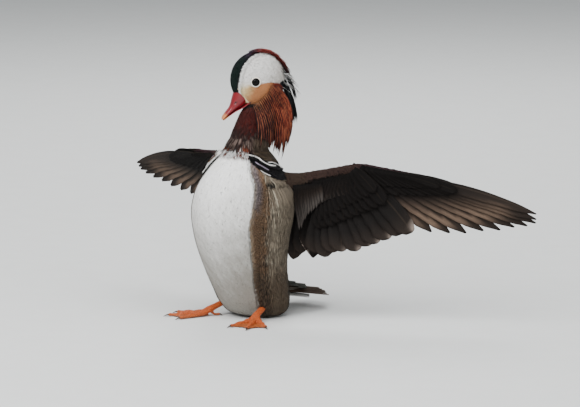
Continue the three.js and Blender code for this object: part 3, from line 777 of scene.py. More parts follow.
@dataclass(frozen=True)
class Skin:
    """The skin under the feathers, in the colours of what grows on it."""

    name: str = "skin_down"
    grain: float = 600.0
    depth: float = 0.0006
    roughness: float = 0.9
    gloss: float = 0.1

    def make(self) -> Material:
        """The material."""
        shop = Shop(self.name)
        down = shop.noise(self.grain, 4.0)
        colour = shop.shaded(shop.tint(), 0.55 + down * 0.45)
        return shop.finish(colour, self.roughness, shop.bump(down, self.depth), {"Specular IOR Level": self.gloss})


@dataclass(frozen=True)
class Horn:
    """Bill horn or claw: a hard, tinted skin with fine grain and soft clouds."""

    name: str
    grain: float = 900.0
    clouds: float = 160.0
    depth: float = 0.00008
    roughness: float = 0.32
    coat: float = 0.2

    def make(self) -> Material:
        """The material."""
        shop = Shop(self.name)
        grain = shop.noise(self.grain, 4.0)
        colour = shop.shaded(shop.tint(), 0.8 + shop.noise(self.clouds, 3.0) * 0.4)
        rough = grain * 0.25 + (self.roughness - 0.1)
        return shop.finish(colour, rough, shop.bump(grain, self.depth), {"Coat Weight": self.coat})


@dataclass(frozen=True)
class ScalySkin:
    """The skin of the feet: a net of small scales over orange skin."""

    name: str = "foot_skin"
    scale: float = 620.0
    depth: float = 0.00025
    roughness: float = 0.62

    def make(self) -> Material:
        """The material."""
        shop = Shop(self.name)
        net = {"Vector": shop.place(), "Scale": self.scale}
        scale = shop.add("TexVoronoi", {"feature": "DISTANCE_TO_EDGE"}, net, "Distance").step(0.0, 0.22)
        colour = shop.shaded(shop.tint(), 0.6 + scale * 0.45)
        return shop.finish(colour, self.roughness - scale * 0.2, shop.bump(scale, self.depth))


@dataclass(frozen=True)
class WetEye:
    """A dark brown eye with a wet cornea."""

    name: str = "eye_wet"
    deep: tuple[float, ...] = (0.001, 0.0008, 0.0006, 1)
    brown: tuple[float, ...] = (0.006, 0.003, 0.002, 1)
    flecks: float = 900.0
    roughness: float = 0.12
    coat: float = 0.05
    gloss: float = 0.1

    def make(self) -> Material:
        """The material."""
        shop = Shop(self.name)
        colour = shop.mix(shop.noise(self.flecks, 2.0).step(0.4, 0.8), self.deep, self.brown)
        wet = {"Coat Weight": self.coat, "Coat Roughness": 0.02, "Specular IOR Level": self.gloss}
        return shop.finish(colour, self.roughness, more=wet)


@dataclass(frozen=True)
class Ground:
    """A plain pale studio floor."""

    name: str = "studio_floor"
    tones: Line = ((0.70, 0.71, 0.70, 1), (0.74, 0.75, 0.74, 1))
    grain: float = 30.0
    roughness: float = 0.85
    gloss: float = 0.15

    def make(self) -> Material:
        """The material."""
        shop = Shop(self.name)
        colour = shop.mix(shop.noise(self.grain, 2.0), *self.tones)
        return shop.finish(colour, self.roughness, more={"Specular IOR Level": self.gloss})


def dress(piece: Piece, finish: Material, slot: str) -> None:
    """Gives a piece its material, and lets it ride on the one body."""
    piece.data.materials.clear()
    piece.data.materials.append(finish)
    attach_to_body(piece, "root")
    LOG.info("%s: %d faces", piece.name, len(piece.data.polygons))


@dataclass
class HeadFrame:
    """The head's own frame: p to the nape, q up, l to its left, turned to the bird's right."""

    centre: tuple[float, float, float] = (3.0, 0.0, 268.6)
    turn: float = 38.0
    pitch: float = 47.0
    radius: float = 33.0
    half_width: float = 19.5
    flat_half: float = 34.0

    @property
    def axes(self) -> Array:
        """The directions of p, q and l, as rows."""
        a = math.radians(self.turn)
        return np.array([[math.sin(a), math.cos(a), 0], [0, 0, 1], [math.cos(a), -math.sin(a), 0]])

    def place(self, local: Array) -> Array:
        """World points from rows of p, q and l."""
        return np.asarray(self.centre) + np.asarray(local, float) @ self.axes

    def read(self, points: Array) -> Array:
        """Rows of p, q and l from world points."""
        return (np.asarray(points) - np.asarray(self.centre)) @ self.axes.T

    def shares(self, p: Array, q: Array) -> tuple[Array, Array]:
        """Shares across and up the head's part of the flat sheet."""
        return (p + self.flat_half) / (2 * self.flat_half), (q + self.flat_half) / (2 * self.flat_half)

    def bill(self, local: Array) -> Array:
        """World points from rows of f forward along the bill, u up from it and l to the left."""
        b = math.radians(self.pitch)
        f, u, l = np.moveaxis(np.asarray(local, float), -1, 0)
        return self.place(coords(-f * math.cos(b) - u * math.sin(b), -f * math.sin(b) + u * math.cos(b), l))


@dataclass
class WingFrame:
    """A wing's own frame: s along the span, c down the chord and n to the back."""

    side: int
    sweep: float
    lift: float = 0.0
    raise_by: float = 0.0
    tilt: float = 0.0
    swing: float = 0.0
    shoulder: tuple[float, float, float] = (32.0, -3.0, 163.0)
    wrist: Pair = (94.0, -14.7)
    bend_from: float = 64.0
    bend_length: float = 60.0
    length: float = 300.0
    arch: float = 5.0
    camber: Pair = (8.0, 90.0)

    def _bend(self, s: Array, x: Array, angle: float) -> tuple[Array, Array]:
        """Turns what lies past the wrist by an angle, on an arc that starts and ends gently."""
        if angle == 0:
            return s, x
        turn = angle * np.clip((s - self.bend_from) / self.bend_length, 0, 1)
        arc = self.bend_length / angle
        past = np.maximum(s - self.bend_from - self.bend_length, 0)
        out = np.minimum(s, self.bend_from) + arc * np.sin(turn) + past * np.cos(turn) + x * np.sin(turn)
        return out, x * np.cos(turn) - arc * (1 - np.cos(turn)) - past * np.sin(turn)

    def place(self, local: Array) -> Array:
        """World points from rows of s, c and n."""
        back, up, twist, hand, forward = map(
            math.radians, (self.sweep, self.raise_by, self.tilt, self.lift, self.swing)
        )
        flat = np.array([self.side * math.cos(back), math.sin(back), 0])
        span = flat * math.cos(up) + np.array([0, 0, math.sin(up)])
        level = flat * math.sin(up) + np.array([0, 0, -math.cos(up)])
        away = np.cross(span, level) * self.side
        chord = level * math.cos(twist) + away * math.sin(twist)
        dorsal = away * math.cos(twist) - level * math.sin(twist)
        s, c, n = np.moveaxis(np.asarray(local, float), -1, 0)
        arch = self.arch * np.sin(math.pi * np.clip(s, 0, self.length) / self.length)
        camber = self.camber[0] * (c / self.camber[1]) ** 2
        in_plane, down = self._bend(s, c - self.wrist[1], hand)
        out, high = self._bend(in_plane, n + arch - camber, forward)
        root = np.array([self.side * self.shoulder[0], self.shoulder[1], self.shoulder[2]])
        down = (down + self.wrist[1])[..., None]
        return root + span * out[..., None] + chord * down + dorsal * high[..., None]


HEAD = HeadFrame()
WINGS = {LEFT: WingFrame(LEFT, 31.0), RIGHT: WingFrame(RIGHT, 40.5, 17.0, -5.0, 27.0, 16.5)}
WING_CORE = (
    (-14, -6, 30, 16), (0, -6, 34, 15.5), (21, -4, 38, 14), (48, -8, 42, 12), (74, -13, 28, 10.5),
    (94, -16, 12, 9.5), (120, -12.5, 7, 7.5), (144, -8.5, 6, 5.5), (160, -4, 4, 3.5),
)


def wing_core(frame: WingFrame, s: Array, turn: Array, grow: float) -> Array:
    """Points round the fleshy part of a wing, where sin(turn) > 0 is its back."""
    lead, trail, thick = np.moveaxis(stations(WING_CORE, np.ravel(s)), -1, 0)
    lead, trail, thick = (v.reshape(np.shape(s)) for v in (lead - grow, trail + grow, thick + 2 * grow))
    c = (lead + trail) / 2 - (trail - lead) / 2 * np.cos(turn)
    n = thick / 2 * np.sin(turn) * (1 + 0.5 * np.cos(turn))
    return frame.place(coords(s, c, n))


class Part(IntEnum):
    """What a place on the skin belongs to."""

    TRUNK = 0
    NECK = 1
    HEAD = 2
    TAIL = 3
    WING_LEFT = 4
    WING_RIGHT = 5


WING_PARTS = {LEFT: Part.WING_LEFT, RIGHT: Part.WING_RIGHT}
BACK_SHIFT = 200
TRUNK_FLAT = 192


@dataclass
class Body:
    """The flesh under the feathers: one skin from the seat to the crown and out along the wings."""

    trunk: Line = (
        (0, 2, 23, 21, 25), (5, 1, 34, 32, 36), (14, -3, 40, 38, 42), (30, -9, 44, 42, 46),
        (60, -20, 50, 46, 47), (95, -25, 58, 52, 50), (126, -22, 62, 57, 52), (150, -19, 56, 53, 48),
        (168, -17, 45, 43, 39), (182, -16, 34, 33, 30), (190, -15, 26, 25, 23),
    )
    neck: Line = (
        (180, 0, -16, 27.5), (190.35, 0, -16, 25.5), (198, 0.5, -14, 23.8),
        (214, 1.5, -9, 21.5), (230, 2.5, -3, 19), (250, 3, 0, 12),
    )
    tail: Line = ((-4, 17, 33, 27), (10, 19, 33, 27), (30, 18, 30, 20), (48, 16, 26.5, 12), (62, 13, 23, 6))
    depth: float = 2.6
    head_depth: float = 1.6
    wing_depth: float = 1.4
    grain: float = 1.7
    seat: float = 1.0
    top: float = 190.0
    throat: float = 191.0
    egg_edge: float = 1.12
    head_from: float = 228.0
    tail_top: float = 52.0
    wing_from: Pair = (34.0, 90.0)
    wing_skin: float = 3.2
    wing_root: float = 6.0

    def _ring(self, height: float) -> Array:
        """One ring of the trunk."""
        y, side, belly, back = stations(self.trunk, height)[0]
        turn = circle(64)
        reach = np.where(np.sin(turn) < 0, belly, back) - self.depth
        return coords((side - self.depth) * np.cos(turn), y + reach * np.sin(turn), height)

    def skin(self) -> Piece:
        """The fused skin."""
        trunk = [self._ring(max(self.top * t**1.25, self.seat)) for t in np.linspace(0, 1, 40)]
        turn, neck, tail = circle(48), [], []
        for height in np.linspace(180, 250, 20):
            x, y, r = stations(self.neck, height)[0]
            r -= self.depth
            neck.append(coords(x + r * np.cos(turn), y + r * np.sin(turn), height))
        for y in np.linspace(-4, 60, 16):
            half, z, thick = stations(self.tail, y)[0]
            half, high = half - self.wing_depth, max(thick / 2 - self.wing_depth, 1)
            tail.append(coords(half * np.cos(turn), y, z + high * np.sin(turn)))
        grid = np.meshgrid(np.linspace(-14, 158, 40), turn, indexing="ij")
        wings = [wing_core(frame, *grid, -self.wing_depth) for frame in WINGS.values()]
        parts = [loft(np.array(rings)) for rings in (trunk, neck, self._head_rings(), tail, *wings)]
        return fuse(solid("skin", parts), self.grain, 5)

    def _head_rings(self) -> Array:
        """The head's egg, with its long axis along the bill."""
        lean = np.linspace(0, math.pi, 26)[1:-1, None]
        turn = circle(40)[None]
        reach, wide = HEAD.radius - self.head_depth, HEAD.half_width - self.head_depth
        f = reach * np.cos(lean) + 0 * turn
        u = reach * np.sin(lean) * np.sin(turn)
        l = wide * np.sin(lean) * np.cos(turn)
        return HEAD.bill(coords(f, u, l))

    def sort(self, points: Array) -> tuple[Array, Array]:
        """Says what each point of the skin belongs to, and where on it.

        Args:
            points: world points.

        Returns:
            The part of each, as a number, and two coordinates: the turn in degrees and the height on the
            trunk and neck, p and q on the head, s and c on a wing, and x and y on the tail. A wing's back
            has its chord raised by BACK_SHIFT.
        """
        part = np.full(len(points), Part.TRUNK)
        part[points[:, 2] > self.throat] = Part.NECK
        local = HEAD.read(points)
        egg = (local[:, 0] ** 2 + local[:, 1] ** 2) / HEAD.radius**2 + (local[:, 2] / HEAD.half_width) ** 2
        part[(egg < self.egg_edge) & (points[:, 2] > self.head_from)] = Part.HEAD
        reach = stations(self.trunk, points[:, 2])
        behind = points[:, 1] > reach[:, 0] + reach[:, 3] - self.depth + 1
        part[behind & (points[:, 2] < self.tail_top)] = Part.TAIL
        where = self.locate(part, points)
        s, turns = (v.ravel() for v in np.meshgrid(np.arange(-14, 160, 2.5), circle(40), indexing="ij"))
        lead, trail, _ = stations(WING_CORE, s).T
        chord = (lead + trail) / 2 - (trail - lead) / 2 * np.cos(turns) + BACK_SHIFT * (np.sin(turns) > 0)
        for side, code in WING_PARTS.items():
            tree = kdtree.KDTree(len(s))
            for i, p in enumerate(wing_core(WINGS[side], s, turns, -self.wing_depth)):
                tree.insert(p, i)
            tree.balance()
            aside, low = self.wing_from
            for i in np.nonzero((points[:, 0] * side > aside) & (points[:, 2] > low))[0]:
                _, j, gap = tree.find(points[i])
                if gap < self.wing_skin and s[j] > self.wing_root:
                    part[i], where[i] = code, (s[j], chord[j])
        return part, where

    def locate(self, part: Array, points: Array) -> Array:
        """The two coordinates of points of known parts, but for the wings."""
        where = points[:, :2].copy()
        for code, table in ((Part.TRUNK, self.trunk), (Part.NECK, self.neck)):
            pick = part == code
            middle = stations(table, points[pick, 2])
            x, y = (0.0, middle[:, 0]) if code is Part.TRUNK else (middle[:, 0], middle[:, 1])
            turn = np.degrees(np.arctan2(points[pick, 1] - y, points[pick, 0] - x))
            where[pick] = coords(turn, points[pick, 2])
        head = part == Part.HEAD
        where[head] = HEAD.read(points[head])[:, :2]
        return where

    def atlas(self, part: Array, where: Array) -> Array:
        """The place of each sorted point on the unwrapped skin."""
        place = np.zeros((len(part), 2))
        turn = (where[:, 0] + 90) % 360 / 360
        wing = where[:, 0] / 160, (where[:, 1] + 20) / 270
        flats = {
            Part.TRUNK: (Atlas.TRUNK, turn, where[:, 1] / TRUNK_FLAT),
            Part.NECK: (Atlas.NECK, turn, (where[:, 1] - 190) / 60),
            Part.HEAD: (Atlas.HEAD_LEFT, *HEAD.shares(where[:, 0], where[:, 1])),
            Part.TAIL: (Atlas.TAIL, (where[:, 0] + 20) / 40, where[:, 1] / 62),
            Part.WING_LEFT: (Atlas.WING_LEFT, *wing),
            Part.WING_RIGHT: (Atlas.WING_RIGHT, *wing),
        }
        for code, (area, a, b) in flats.items():
            pick = part == code
            place[pick] = area.place(a[pick], b[pick])
        return place


class Markings:
    """The colours of the bird at every place, alike for the skin and for what grows on it."""

    EDGE = ((44, 50.8), (64, 53.3), (94, 51.8), (112, 48.8), (136, 50.4), (157, 52.3), (176, 46.9), (190, 44))
    COLLAR = ((0, 190.5), (35, 190.5), (45, 189.5), (60, 187.5), (79, 181.5), (98, 178.5), (180, 176))
    BARRED = ((40, 184), (55, 177), (62, 172.5), (70, 168), (82, 163), (95, 160), (120, 158), (135, 168), (150, 186))
    HOLE_SHADOW = ((60.0, 156.5), (66.5, 155.5))
    RIGHT_SHARE = 0.93
    CAP = (
        (2.3, 34.7), (15.2, 32.3), (28.7, 32.5), (47.7, 33.0), (62.7, 35.3), (75.8, 36.7), (93.6, 36.3),
        (105.7, 35.7), (118.1, 34.6), (130.2, 33.1), (148.6, 30.5), (169, 28.7), (192.4, 29.3),
    )
    CAP_CENTRE = (4.0, -6.0)
    CAP_TONES = (
        (14, Hue.NAPE), (26, Hue.COPPER_DARK), (50, Hue.COPPER),
        (96, Hue.COPPER), (112, Hue.PURPLE), (128, Hue.GREEN),
    )
    CHEEK_TOP = ((-24, -4.1), (-15, -3.2), (0, -2.3), (12, -1.7), (24, -4.0), (30, -9.3))
    CHEEK_SOFT = ((-24, 7.0), (-8, 4.0), (2, 1.2), (10, 0.9))
    CHEEK_TONES = (
        (-22, Hue.FACE_CREAM), (-12, Hue.FACE_BUFF), (-3, Hue.FACE_ORANGE), (9, Hue.FACE_ORANGE), (17, Hue.RUFOUS),
    )
    GAPE = ((-23.9, -14.1), (-19.8, -18.3), (-12.4, -26.0))
    NAPE = ((25.5, -4.0), (31, -9), (37.7, -17.6))
    ARM_TONES = ((10, Hue.FOREARM_OLIVE), (40, Hue.FOREARM), (84, Hue.FOREARM), (104, Hue.HAND))

    @staticmethod
    def read(table: Pairs, at: Array) -> Array:
        """Reads a table of pairs along straight lines."""
        return np.interp(at, *zip(*table))

    @staticmethod
    def front(turn: Array) -> Array:
        """Degrees round the trunk from the middle of the breast, counted a little short on the right side."""
        turn = (turn + 270) % 360 - 180
        return np.where(turn < 0, -Markings.RIGHT_SHARE * turn, turn)

    @classmethod
    def past_edge(cls, front: Array, height: Array) -> Array:
        """Degrees from the belly's edge on to the flank."""
        return front - cls.read(cls.EDGE, height)

    @classmethod
    def bars(cls, front: Array, height: Array, first: Array | float = 44, last: float = 150) -> Array:
        """Where the black and white bars lie before the wing."""
        return (height > cls.read(cls.BARRED, front)) & (front > first) & (front < last)

    @classmethod
    def trunk(cls, turn: Array, height: Array, points: Array) -> Array:
        """The body's colours: white belly, golden flanks, olive back, and bars before the wings."""
        front = cls.front(turn)
        past = cls.past_edge(front, height)
        wave, fine = ripple(points, 9.0), ripple(points, 2.4, 3.0)
        wet = ease(front, 10, 30) * fall(height, 30, 64) * ease(np.sin(front * 1.3 + 2 * wave), -0.4, 0.6)
        # painted shade: the white belly greys towards the bottom and towards the side
        belly = layered(
            Hue.BELLY_PAINTED_SHADE,
            (Hue.BELLY, ease(height + wave * 14 - front * 0.7, 5, 180)),
            (Hue.BELLY_SHADE, ease(fine, 0.75, 1.1) * ease(height, 120, 150) * ease(front, 15, 40) * 0.5),
            (Hue.BELLY_SHADE, wet * 0.45),
        )
        plume = blend(Hue.PLUME, Hue.PLUME_PALE, ease(fine, -0.1, 0.5) * fall(past, 26, 44) * 0.8)
        # painted shadow: a dark hole in the flank's plumage near the wing's root
        hole = beside(front * 0.85, height, cls.HOLE_SHADOW)
        side = layered(
            Hue.FLANK,
            (Hue.FLANK_MAUVE, ease(height + 10 * wave, 118, 145) * fall(past, 6, 14)),
            (Hue.PLUME_PALE, fall(past + fine, 1.0, 5.0) * 0.35),
            (plume, ease(past + wave * 3 + fine * 2 + (height - 150) * 0.04, 13, 22)),
            (Hue.FLANK_LOW, ease(82 - height + wave * 8, 0, 34) * 0.9),
            (Hue.HOLE_SHADOW, fall(hole + fine, 1.0, 3.2)),
        )
        back = layered(
            Hue.BACK,
            (Hue.RUMP, ease(ripple(points, 12.0, 1.0), -0.5, 0.6)),
            (Hue.BACK_GREEN, ease(ripple(points, 16.0, 5.0), 0.2, 0.8) * 0.5),
        )
        colour = layered(belly, (side, ease(past + 0.4 * fine, -0.6, 0.6)), (back, ease(front + wave * 4, 108, 122)))
        first = np.where((turn + 270) % 360 < 180, 58, 44)
        colour = np.where(cls.bars(front, height, first)[:, None], Hue.BAR_BLACK.light, colour)
        over = height - cls.read(cls.COLLAR, front) + fine * 0.4
        mantle = layered(cls.cowl(points), (Hue.MANTLE, ease(front, 50, 62)), (Hue.BACK, ease(front, 105, 130)))
        tuft = ease(ripple(points, 5.0, 7.0), -0.1, 0.3) * ease(front, 8, 14) * fall(front, 40, 46)
        rust = tuft * fall(np.abs(over + 3.2), 1.4, 2.6)
        return layered(colour, (mantle, ease(over, -0.5, 0.5)), (Hue.RUST, rust))

    @classmethod
    def barring(cls, part: Array, where: Array) -> Array:
        """How strongly the small feathers are barred: only on the flank's golden strip."""
        past = cls.past_edge(cls.front(where[:, 0]), where[:, 1])
        strip = ease(past, 2.0, 6.0) * fall(past, 18, 27) * (part == Part.TRUNK)
        return strip * fall(where[:, 1], 150, 166)

    @staticmethod
    def cowl(points: Array) -> Array:
        """The fluffy feathers where the neck meets the breast: grey-brown with pale and dark streaks."""
        wave = ripple(points, 3.2, 2.0)
        return layered(Hue.NECK, (Hue.NECK_PALE, ease(wave, -0.2, 0.5)), (Hue.NECK_DARK, ease(-wave, 0.35, 0.7)))

    @classmethod
    def neck(cls, turn: Array, height: Array, points: Array) -> Array:
        """The neck: near black with maroon streaks, and a fluffy grey-brown cowl below."""
        wave, fine = ripple(points, 4.0, 2.0), ripple(points, 1.8, 5.0)
        aside = np.degrees(np.abs(np.angle(np.exp(1j * np.radians(turn + 20)))))
        streak = ease(wave + fine * 0.6, 0.0, 0.5) * (0.35 + 0.65 * fall(aside, 20, 70))
        red = ease(height + 3 * wave, 208, 222) * fall(height, 232, 244) * 0.75
        high = blend(Hue.NECK_DARK, Hue.MAROON, (streak * 0.7 + red).clip(0, 1))
        front = cls.front(turn)
        rust = ease(ripple(points, 5.0, 7.0), -0.4, 0.2) * ease(front, 4, 12) * fall(front, 44, 52)
        return layered(
            cls.cowl(points),
            (Hue.MANTLE, ease(turn, -45, -25) * fall(turn, 60, 90) * 0.8),
            (Hue.RUST, rust * fall(height, 193.5, 196.5)),
            (blend(high, Hue.THROAT, ease(height, 234, 246)), ease(height + wave * 4, 199, 212)),
        )

    @classmethod
    def cap(cls, p: Array, q: Array) -> tuple[Array, Array]:
        """The turn about the face's middle, and how far a place lies past the edge of the dark cap."""
        aside, up = p - cls.CAP_CENTRE[0], q - cls.CAP_CENTRE[1]
        turn = (np.degrees(np.arctan2(up, aside)) + 60) % 360 - 60
        past = np.hypot(aside, up) - cls.read(cls.CAP, turn)
        return turn, np.where((turn > -6) & (turn < 205), past, -9.0)

    @classmethod
    def head(cls, p: Array, q: Array, points: Array) -> Array:
        """The face: white above and behind the eye, buff before it, orange to rufous on the cheek."""
        wave, fine = ripple(points, 3.0, 4.0), ripple(points, 1.3, 9.0)
        turn, past = cls.cap(p, q)
        # painted shade: the white face greys towards the rear, with a little random grey
        grey = 0.15 + 0.7 * ease(p - 0.5 * q + 5 * wave, -4, 26) + 0.2 * fine.clip(0, 1)
        soft = cls.read(cls.CHEEK_SOFT, p)
        cheek = fade(cls.CHEEK_TONES, p + 0.4 * (-q - 4) + wave * 1.5)
        crown = ease(np.hypot(p, q), 30.5, 32.8) * ease(turn, 104, 116) * fall(turn, 146, 165)
        cap = layered(
            fade(cls.CAP_TONES, turn + 5 * wave),
            (Hue.PURPLE, crown * 0.85),
            (Hue.NAPE, fall(past + 0.3 * fine, 0.9, 2.4)),
        )
        return layered(
            Hue.FACE_WHITE,
            (Hue.FACE_PAINTED_SHADE, grey),
            (cheek, ease(cls.read(cls.CHEEK_TOP, p) - q + soft * 0.3 * wave, -soft * 0.5, soft)),
            (Hue.RUFF, ease(-q - 0.1 * p, 16, 24) * ease(p, -4, 6)),
            (Hue.FACE_CREAM, fall(beside(p, q, cls.GAPE), 0.7, 1.5)),
            (Hue.THROAT, ease(-q - wave, 24.0, 27.5) * ease(6 - p, 0, 8)),
            (Hue.BELLY, fall(np.abs(past + 1.1), 0.5, 1.1) * ease(turn, 96, 108)),
            (cap, ease(past + 0.25 * fine, -0.25, 0.25)),
            (Hue.NAPE, fall(beside(p, q, cls.NAPE) + 0.4 * fine, 2.0, 3.2)),
        )

    @classmethod
    def wing(cls, s: Array, c: Array, points: Array) -> Array:
        """The small feathers of a wing: near black below with a brown leading strip, olive brown above."""
        wave = ripple(points, 6.0, 6.0)
        upper = c > 120
        c = np.where(upper, c - BACK_SHIFT, c)
        inward = c - stations(WING_CORE, s)[:, 0]
        strip = fade(cls.ARM_TONES, s)
        wide = np.interp(s, (0, 36, 90, 110, 160), (9.0, 6.5, 5.5, 3.6, 2.4))
        patch = np.hypot((s - 17) / 17, (c - 2) / 10)
        under = layered(
            strip,
            (Hue.COVERT_BLACK, ease(inward + wave * 0.6, wide - 0.8, wide + 1.2)),
            (Hue.FOREARM_OLIVE, fall(patch + wave * 0.03, 0.92, 1.02)),
        )
        over = blend(Hue.BACK, Hue.VANE, ease(wave, -0.4, 0.5) * 0.3)
        return np.where(upper[:, None], blend(strip, over, ease(inward, 2, 5)), under)

    @staticmethod
    def tail(x: Array, y: Array, points: Array) -> Array:
        """The rump and vent."""
        # painted shade: the vent is the belly's shaded grey blended with the low flank's colour
        vent = blend(Hue.BELLY_PAINTED_SHADE, Hue.FLANK_LOW, np.full(len(points), 0.5))
        return np.where((points[:, 2] > 30)[:, None], Hue.RUMP.light, vent)

    @classmethod
    def at(cls, part: Array, where: Array, points: Array) -> Array:
        """The colour at each sorted point."""
        colour = np.zeros((len(points), 3))
        makers = (cls.trunk, cls.neck, cls.head, cls.tail, cls.wing, cls.wing)
        for code, maker in zip(Part, makers):
            pick = part == code
            if pick.any():
                colour[pick] = maker(where[pick, 0], where[pick, 1], points[pick])
        return colour


@dataclass(frozen=True)
class Tuft:
    """How the small feathers of one area grow: spacing, size, and how far they stand off the skin."""

    density: float
    length: float
    width: float
    lift: float
    rows: int
    jitter: float
    mottle: float = 0.05
    tip: float = 1.0


TUFTS = {
    "belly": Tuft(0.42, 15.0, 5.4, 0.26, 5, 0.05, 0.02, 0.4),
    "flank": Tuft(0.62, 9.0, 2.2, 1.1, 4, 0.08),
    "plume": Tuft(0.36, 30.0, 2.3, 2.4, 6, 0.07, 0.07),
    "back": Tuft(0.24, 14.0, 5.6, 1.6, 4, 0.08),
    "bars": Tuft(0.90, 6.0, 1.5, 0.8, 3, 0.10),
    "mantle": Tuft(0.70, 12.0, 1.8, 1.6, 4, 0.07),
    "neck": Tuft(0.95, 9.0, 1.2, 1.7, 3, 0.14, 0.08),
    "cowl": Tuft(0.85, 13.0, 1.3, 3.0, 4, 0.18, 0.08),
    "face": Tuft(2.1, 4.8, 1.0, 0.22, 3, 0.07, 0.015, 0.5),
    "crown": Tuft(2.1, 4.4, 0.8, 0.4, 3, 0.08, 0.05),
    "wing": Tuft(0.95, 7.0, 1.7, 0.35, 3, 0.05, 0.04, 0.5),
    "vent": Tuft(0.45, 14.0, 2.2, 2.4, 4, 0.12),
}


def nearest(tree: BVHTree, points: Array) -> tuple[Array, Array]:
    """The places of a skin that lie nearest to points, and its outward directions there."""
    found = [tree.find_nearest(p) for p in points]
    return np.array([f[0] for f in found]), np.array([f[1] for f in found])


class Coat:
    """The small feathers that cover the skin."""

    SEAT_HEIGHT = 3.0
    BELOW = -0.75
    LOW = 12.0
    EYE_ROOM = 5.9
    HEAD_HEIGHT = 240.0

    def __init__(self, body: Body, skin: Piece) -> None:
        """Samples the skin once for all the pieces of the coat."""
        self.body = body
        self.random = np.random.default_rng(SEED)
        self.names = list(TUFTS)
        mesh = skin.data
        mesh.calc_loop_triangles()
        corners = np.empty(len(mesh.loop_triangles) * 3, np.int32)
        mesh.loop_triangles.foreach_get("vertices", corners)
        corners = corners.reshape(-1, 3)
        points, normals = vertex_data(skin)
        self.tree = BVHTree.FromPolygons(points.tolist(), corners.tolist())
        edges = points[corners]
        areas = np.linalg.norm(np.cross(edges[:, 1] - edges[:, 0], edges[:, 2] - edges[:, 0]), axis=1) / 2
        densities = np.array([tuft.density for tuft in TUFTS.values()])
        count = int(areas.sum() * densities.max())
        pick = self.random.choice(len(areas), count, p=areas / areas.sum())
        weight = self.random.dirichlet((1, 1, 1), count)[..., None]
        roots = (edges[pick] * weight).sum(1)
        normal = unit((normals[corners[pick]] * weight).sum(1))
        chance = self.random.random(count)
        part, where = body.sort(roots)
        area = self._areas(part, where, roots[:, 2])
        keep = (chance < densities[area] / densities.max()) & ~self._bare(roots, normal)
        self.roots, self.normals, self.part = roots[keep], normal[keep], part[keep]
        self.where, self.area = where[keep], area[keep]
        self.places = body.atlas(self.part, self.where)

    def _areas(self, part: Array, where: Array, high: Array) -> Array:
        """The kind of small feather at each point, as its number among the tufts."""
        front, turn = Markings.front(where[:, 0]), where[:, 0]
        past = Markings.past_edge(front, high)
        trunk, neck, head = (part == code for code in (Part.TRUNK, Part.NECK, Part.HEAD))
        over = trunk & (high > Markings.read(Markings.COLLAR, front))
        area = np.zeros(len(part), int)
        for name, here in (
            ("belly", trunk),
            ("flank", trunk & (past > -1)),
            ("plume", trunk & (past > 16) & (high < 158)),
            ("back", trunk & (front > 115)),
            ("bars", trunk & Markings.bars(front, high)),
            ("cowl", over),
            ("mantle", over & (front > 52)),
            ("neck", neck),
            ("cowl", neck & (high < 208)),
            ("mantle", neck & (high < 203) & (turn > -35) & (turn < 100)),
            ("face", head),
            ("crown", head & (Markings.cap(where[:, 0], where[:, 1])[1] > -2)),
            ("vent", part == Part.TAIL),
            ("wing", part >= Part.WING_LEFT),
        ):
            area[here] = self.names.index(name)
        return area

    @classmethod
    def _bare(cls, points: Array, normals: Array) -> Array:
        """Where nothing grows: under the seat and round the eyes."""
        high, local = points[:, 2], HEAD.read(points)
        bare = (high < cls.SEAT_HEIGHT) | ((normals[:, 2] < cls.BELOW) & (high < cls.LOW))
        eye = np.hypot(local[:, 0] - Eye.p, local[:, 1] - Eye.q) < cls.EYE_ROOM
        return bare | (eye & (high > cls.HEAD_HEIGHT))

    @classmethod
    def _lie(cls, roots: Array, part: Array, where: Array) -> Array:
        """The direction that each small feather points in, before it is laid along the skin."""
        lie = np.tile([0.0, 0.0, -1.0], (len(roots), 1))
        trunk, head = part == Part.TRUNK, part == Part.HEAD
        lie[trunk] = cls._trunk_lie(roots[trunk], where[trunk])
        p, q = where[head].T
        steep = np.radians(12 + 55 * ease(-q, -12, 24) * ease(p, -22, 6))
        lie[head] = coords(np.cos(steep), -np.sin(steep), 0) @ HEAD.axes
        lie[part == Part.TAIL] = (0, 1, -0.25)
        for side, code in WING_PARTS.items():
            pick = part == code
            local = coords(where[pick, 0], where[pick, 1] % BACK_SHIFT, 0)
            lie[pick] = unit(WINGS[side].place(local + (0.5, 0.9, 0)) - WINGS[side].place(local))
        return lie

    @staticmethod
    def _trunk_lie(roots: Array, where: Array) -> Array:
        """Down the trunk: the belly draws together at the bottom, the flank's plumes fan out from the armpit."""
        turn, high = np.radians(where[:, 0]), where[:, 1]
        side = np.where(roots[:, 0] >= 0, 1.0, -1.0)
        down = np.tile([0.0, 0.0, -1.0], (len(roots), 1))
        gather = unit(np.array([24.0, -30.0, -30.0]) - roots)
        front = Markings.front(where[:, 0])
        around = coords(-np.sin(turn), np.cos(turn), 0) * side[:, None]
        fan = np.clip((front - 72) / 60, -0.3, 0.45) * (1 - 0.5 * ease(high, 100, 30))
        flank = ease(Markings.past_edge(front, high), -1, 4) * (front < 125)
        lie = layered(gather, (down, ease(high, 70, 120)), (down + around * fan[:, None], flank))
        return unit(np.where(Markings.bars(front, high, last=140)[:, None], around + down * 0.42, lie))

    def grow(self, name: str, pick: Array) -> Piece:
        """Grows the picked small feathers as one mesh.

        Args:
            name: the piece's name.
            pick: which of the sampled roots to use.

        Returns:
            The piece.
        """
        batch = Batch()
        for index, tuft in enumerate(TUFTS.values()):
            chosen = np.nonzero(pick & (self.area == index))[0]
            if len(chosen):
                self._grow_area(batch, tuft, chosen)
        return batch.build(name)

    @staticmethod
    def _rise(share: float, tip: float) -> float:
        """How far a small feather stands off the skin at a share of its length, as a share of its lift."""
        return float(np.interp(share, (0, 0.5, 1), (0, 0.6 + 0.4 * (1 - tip), tip)))

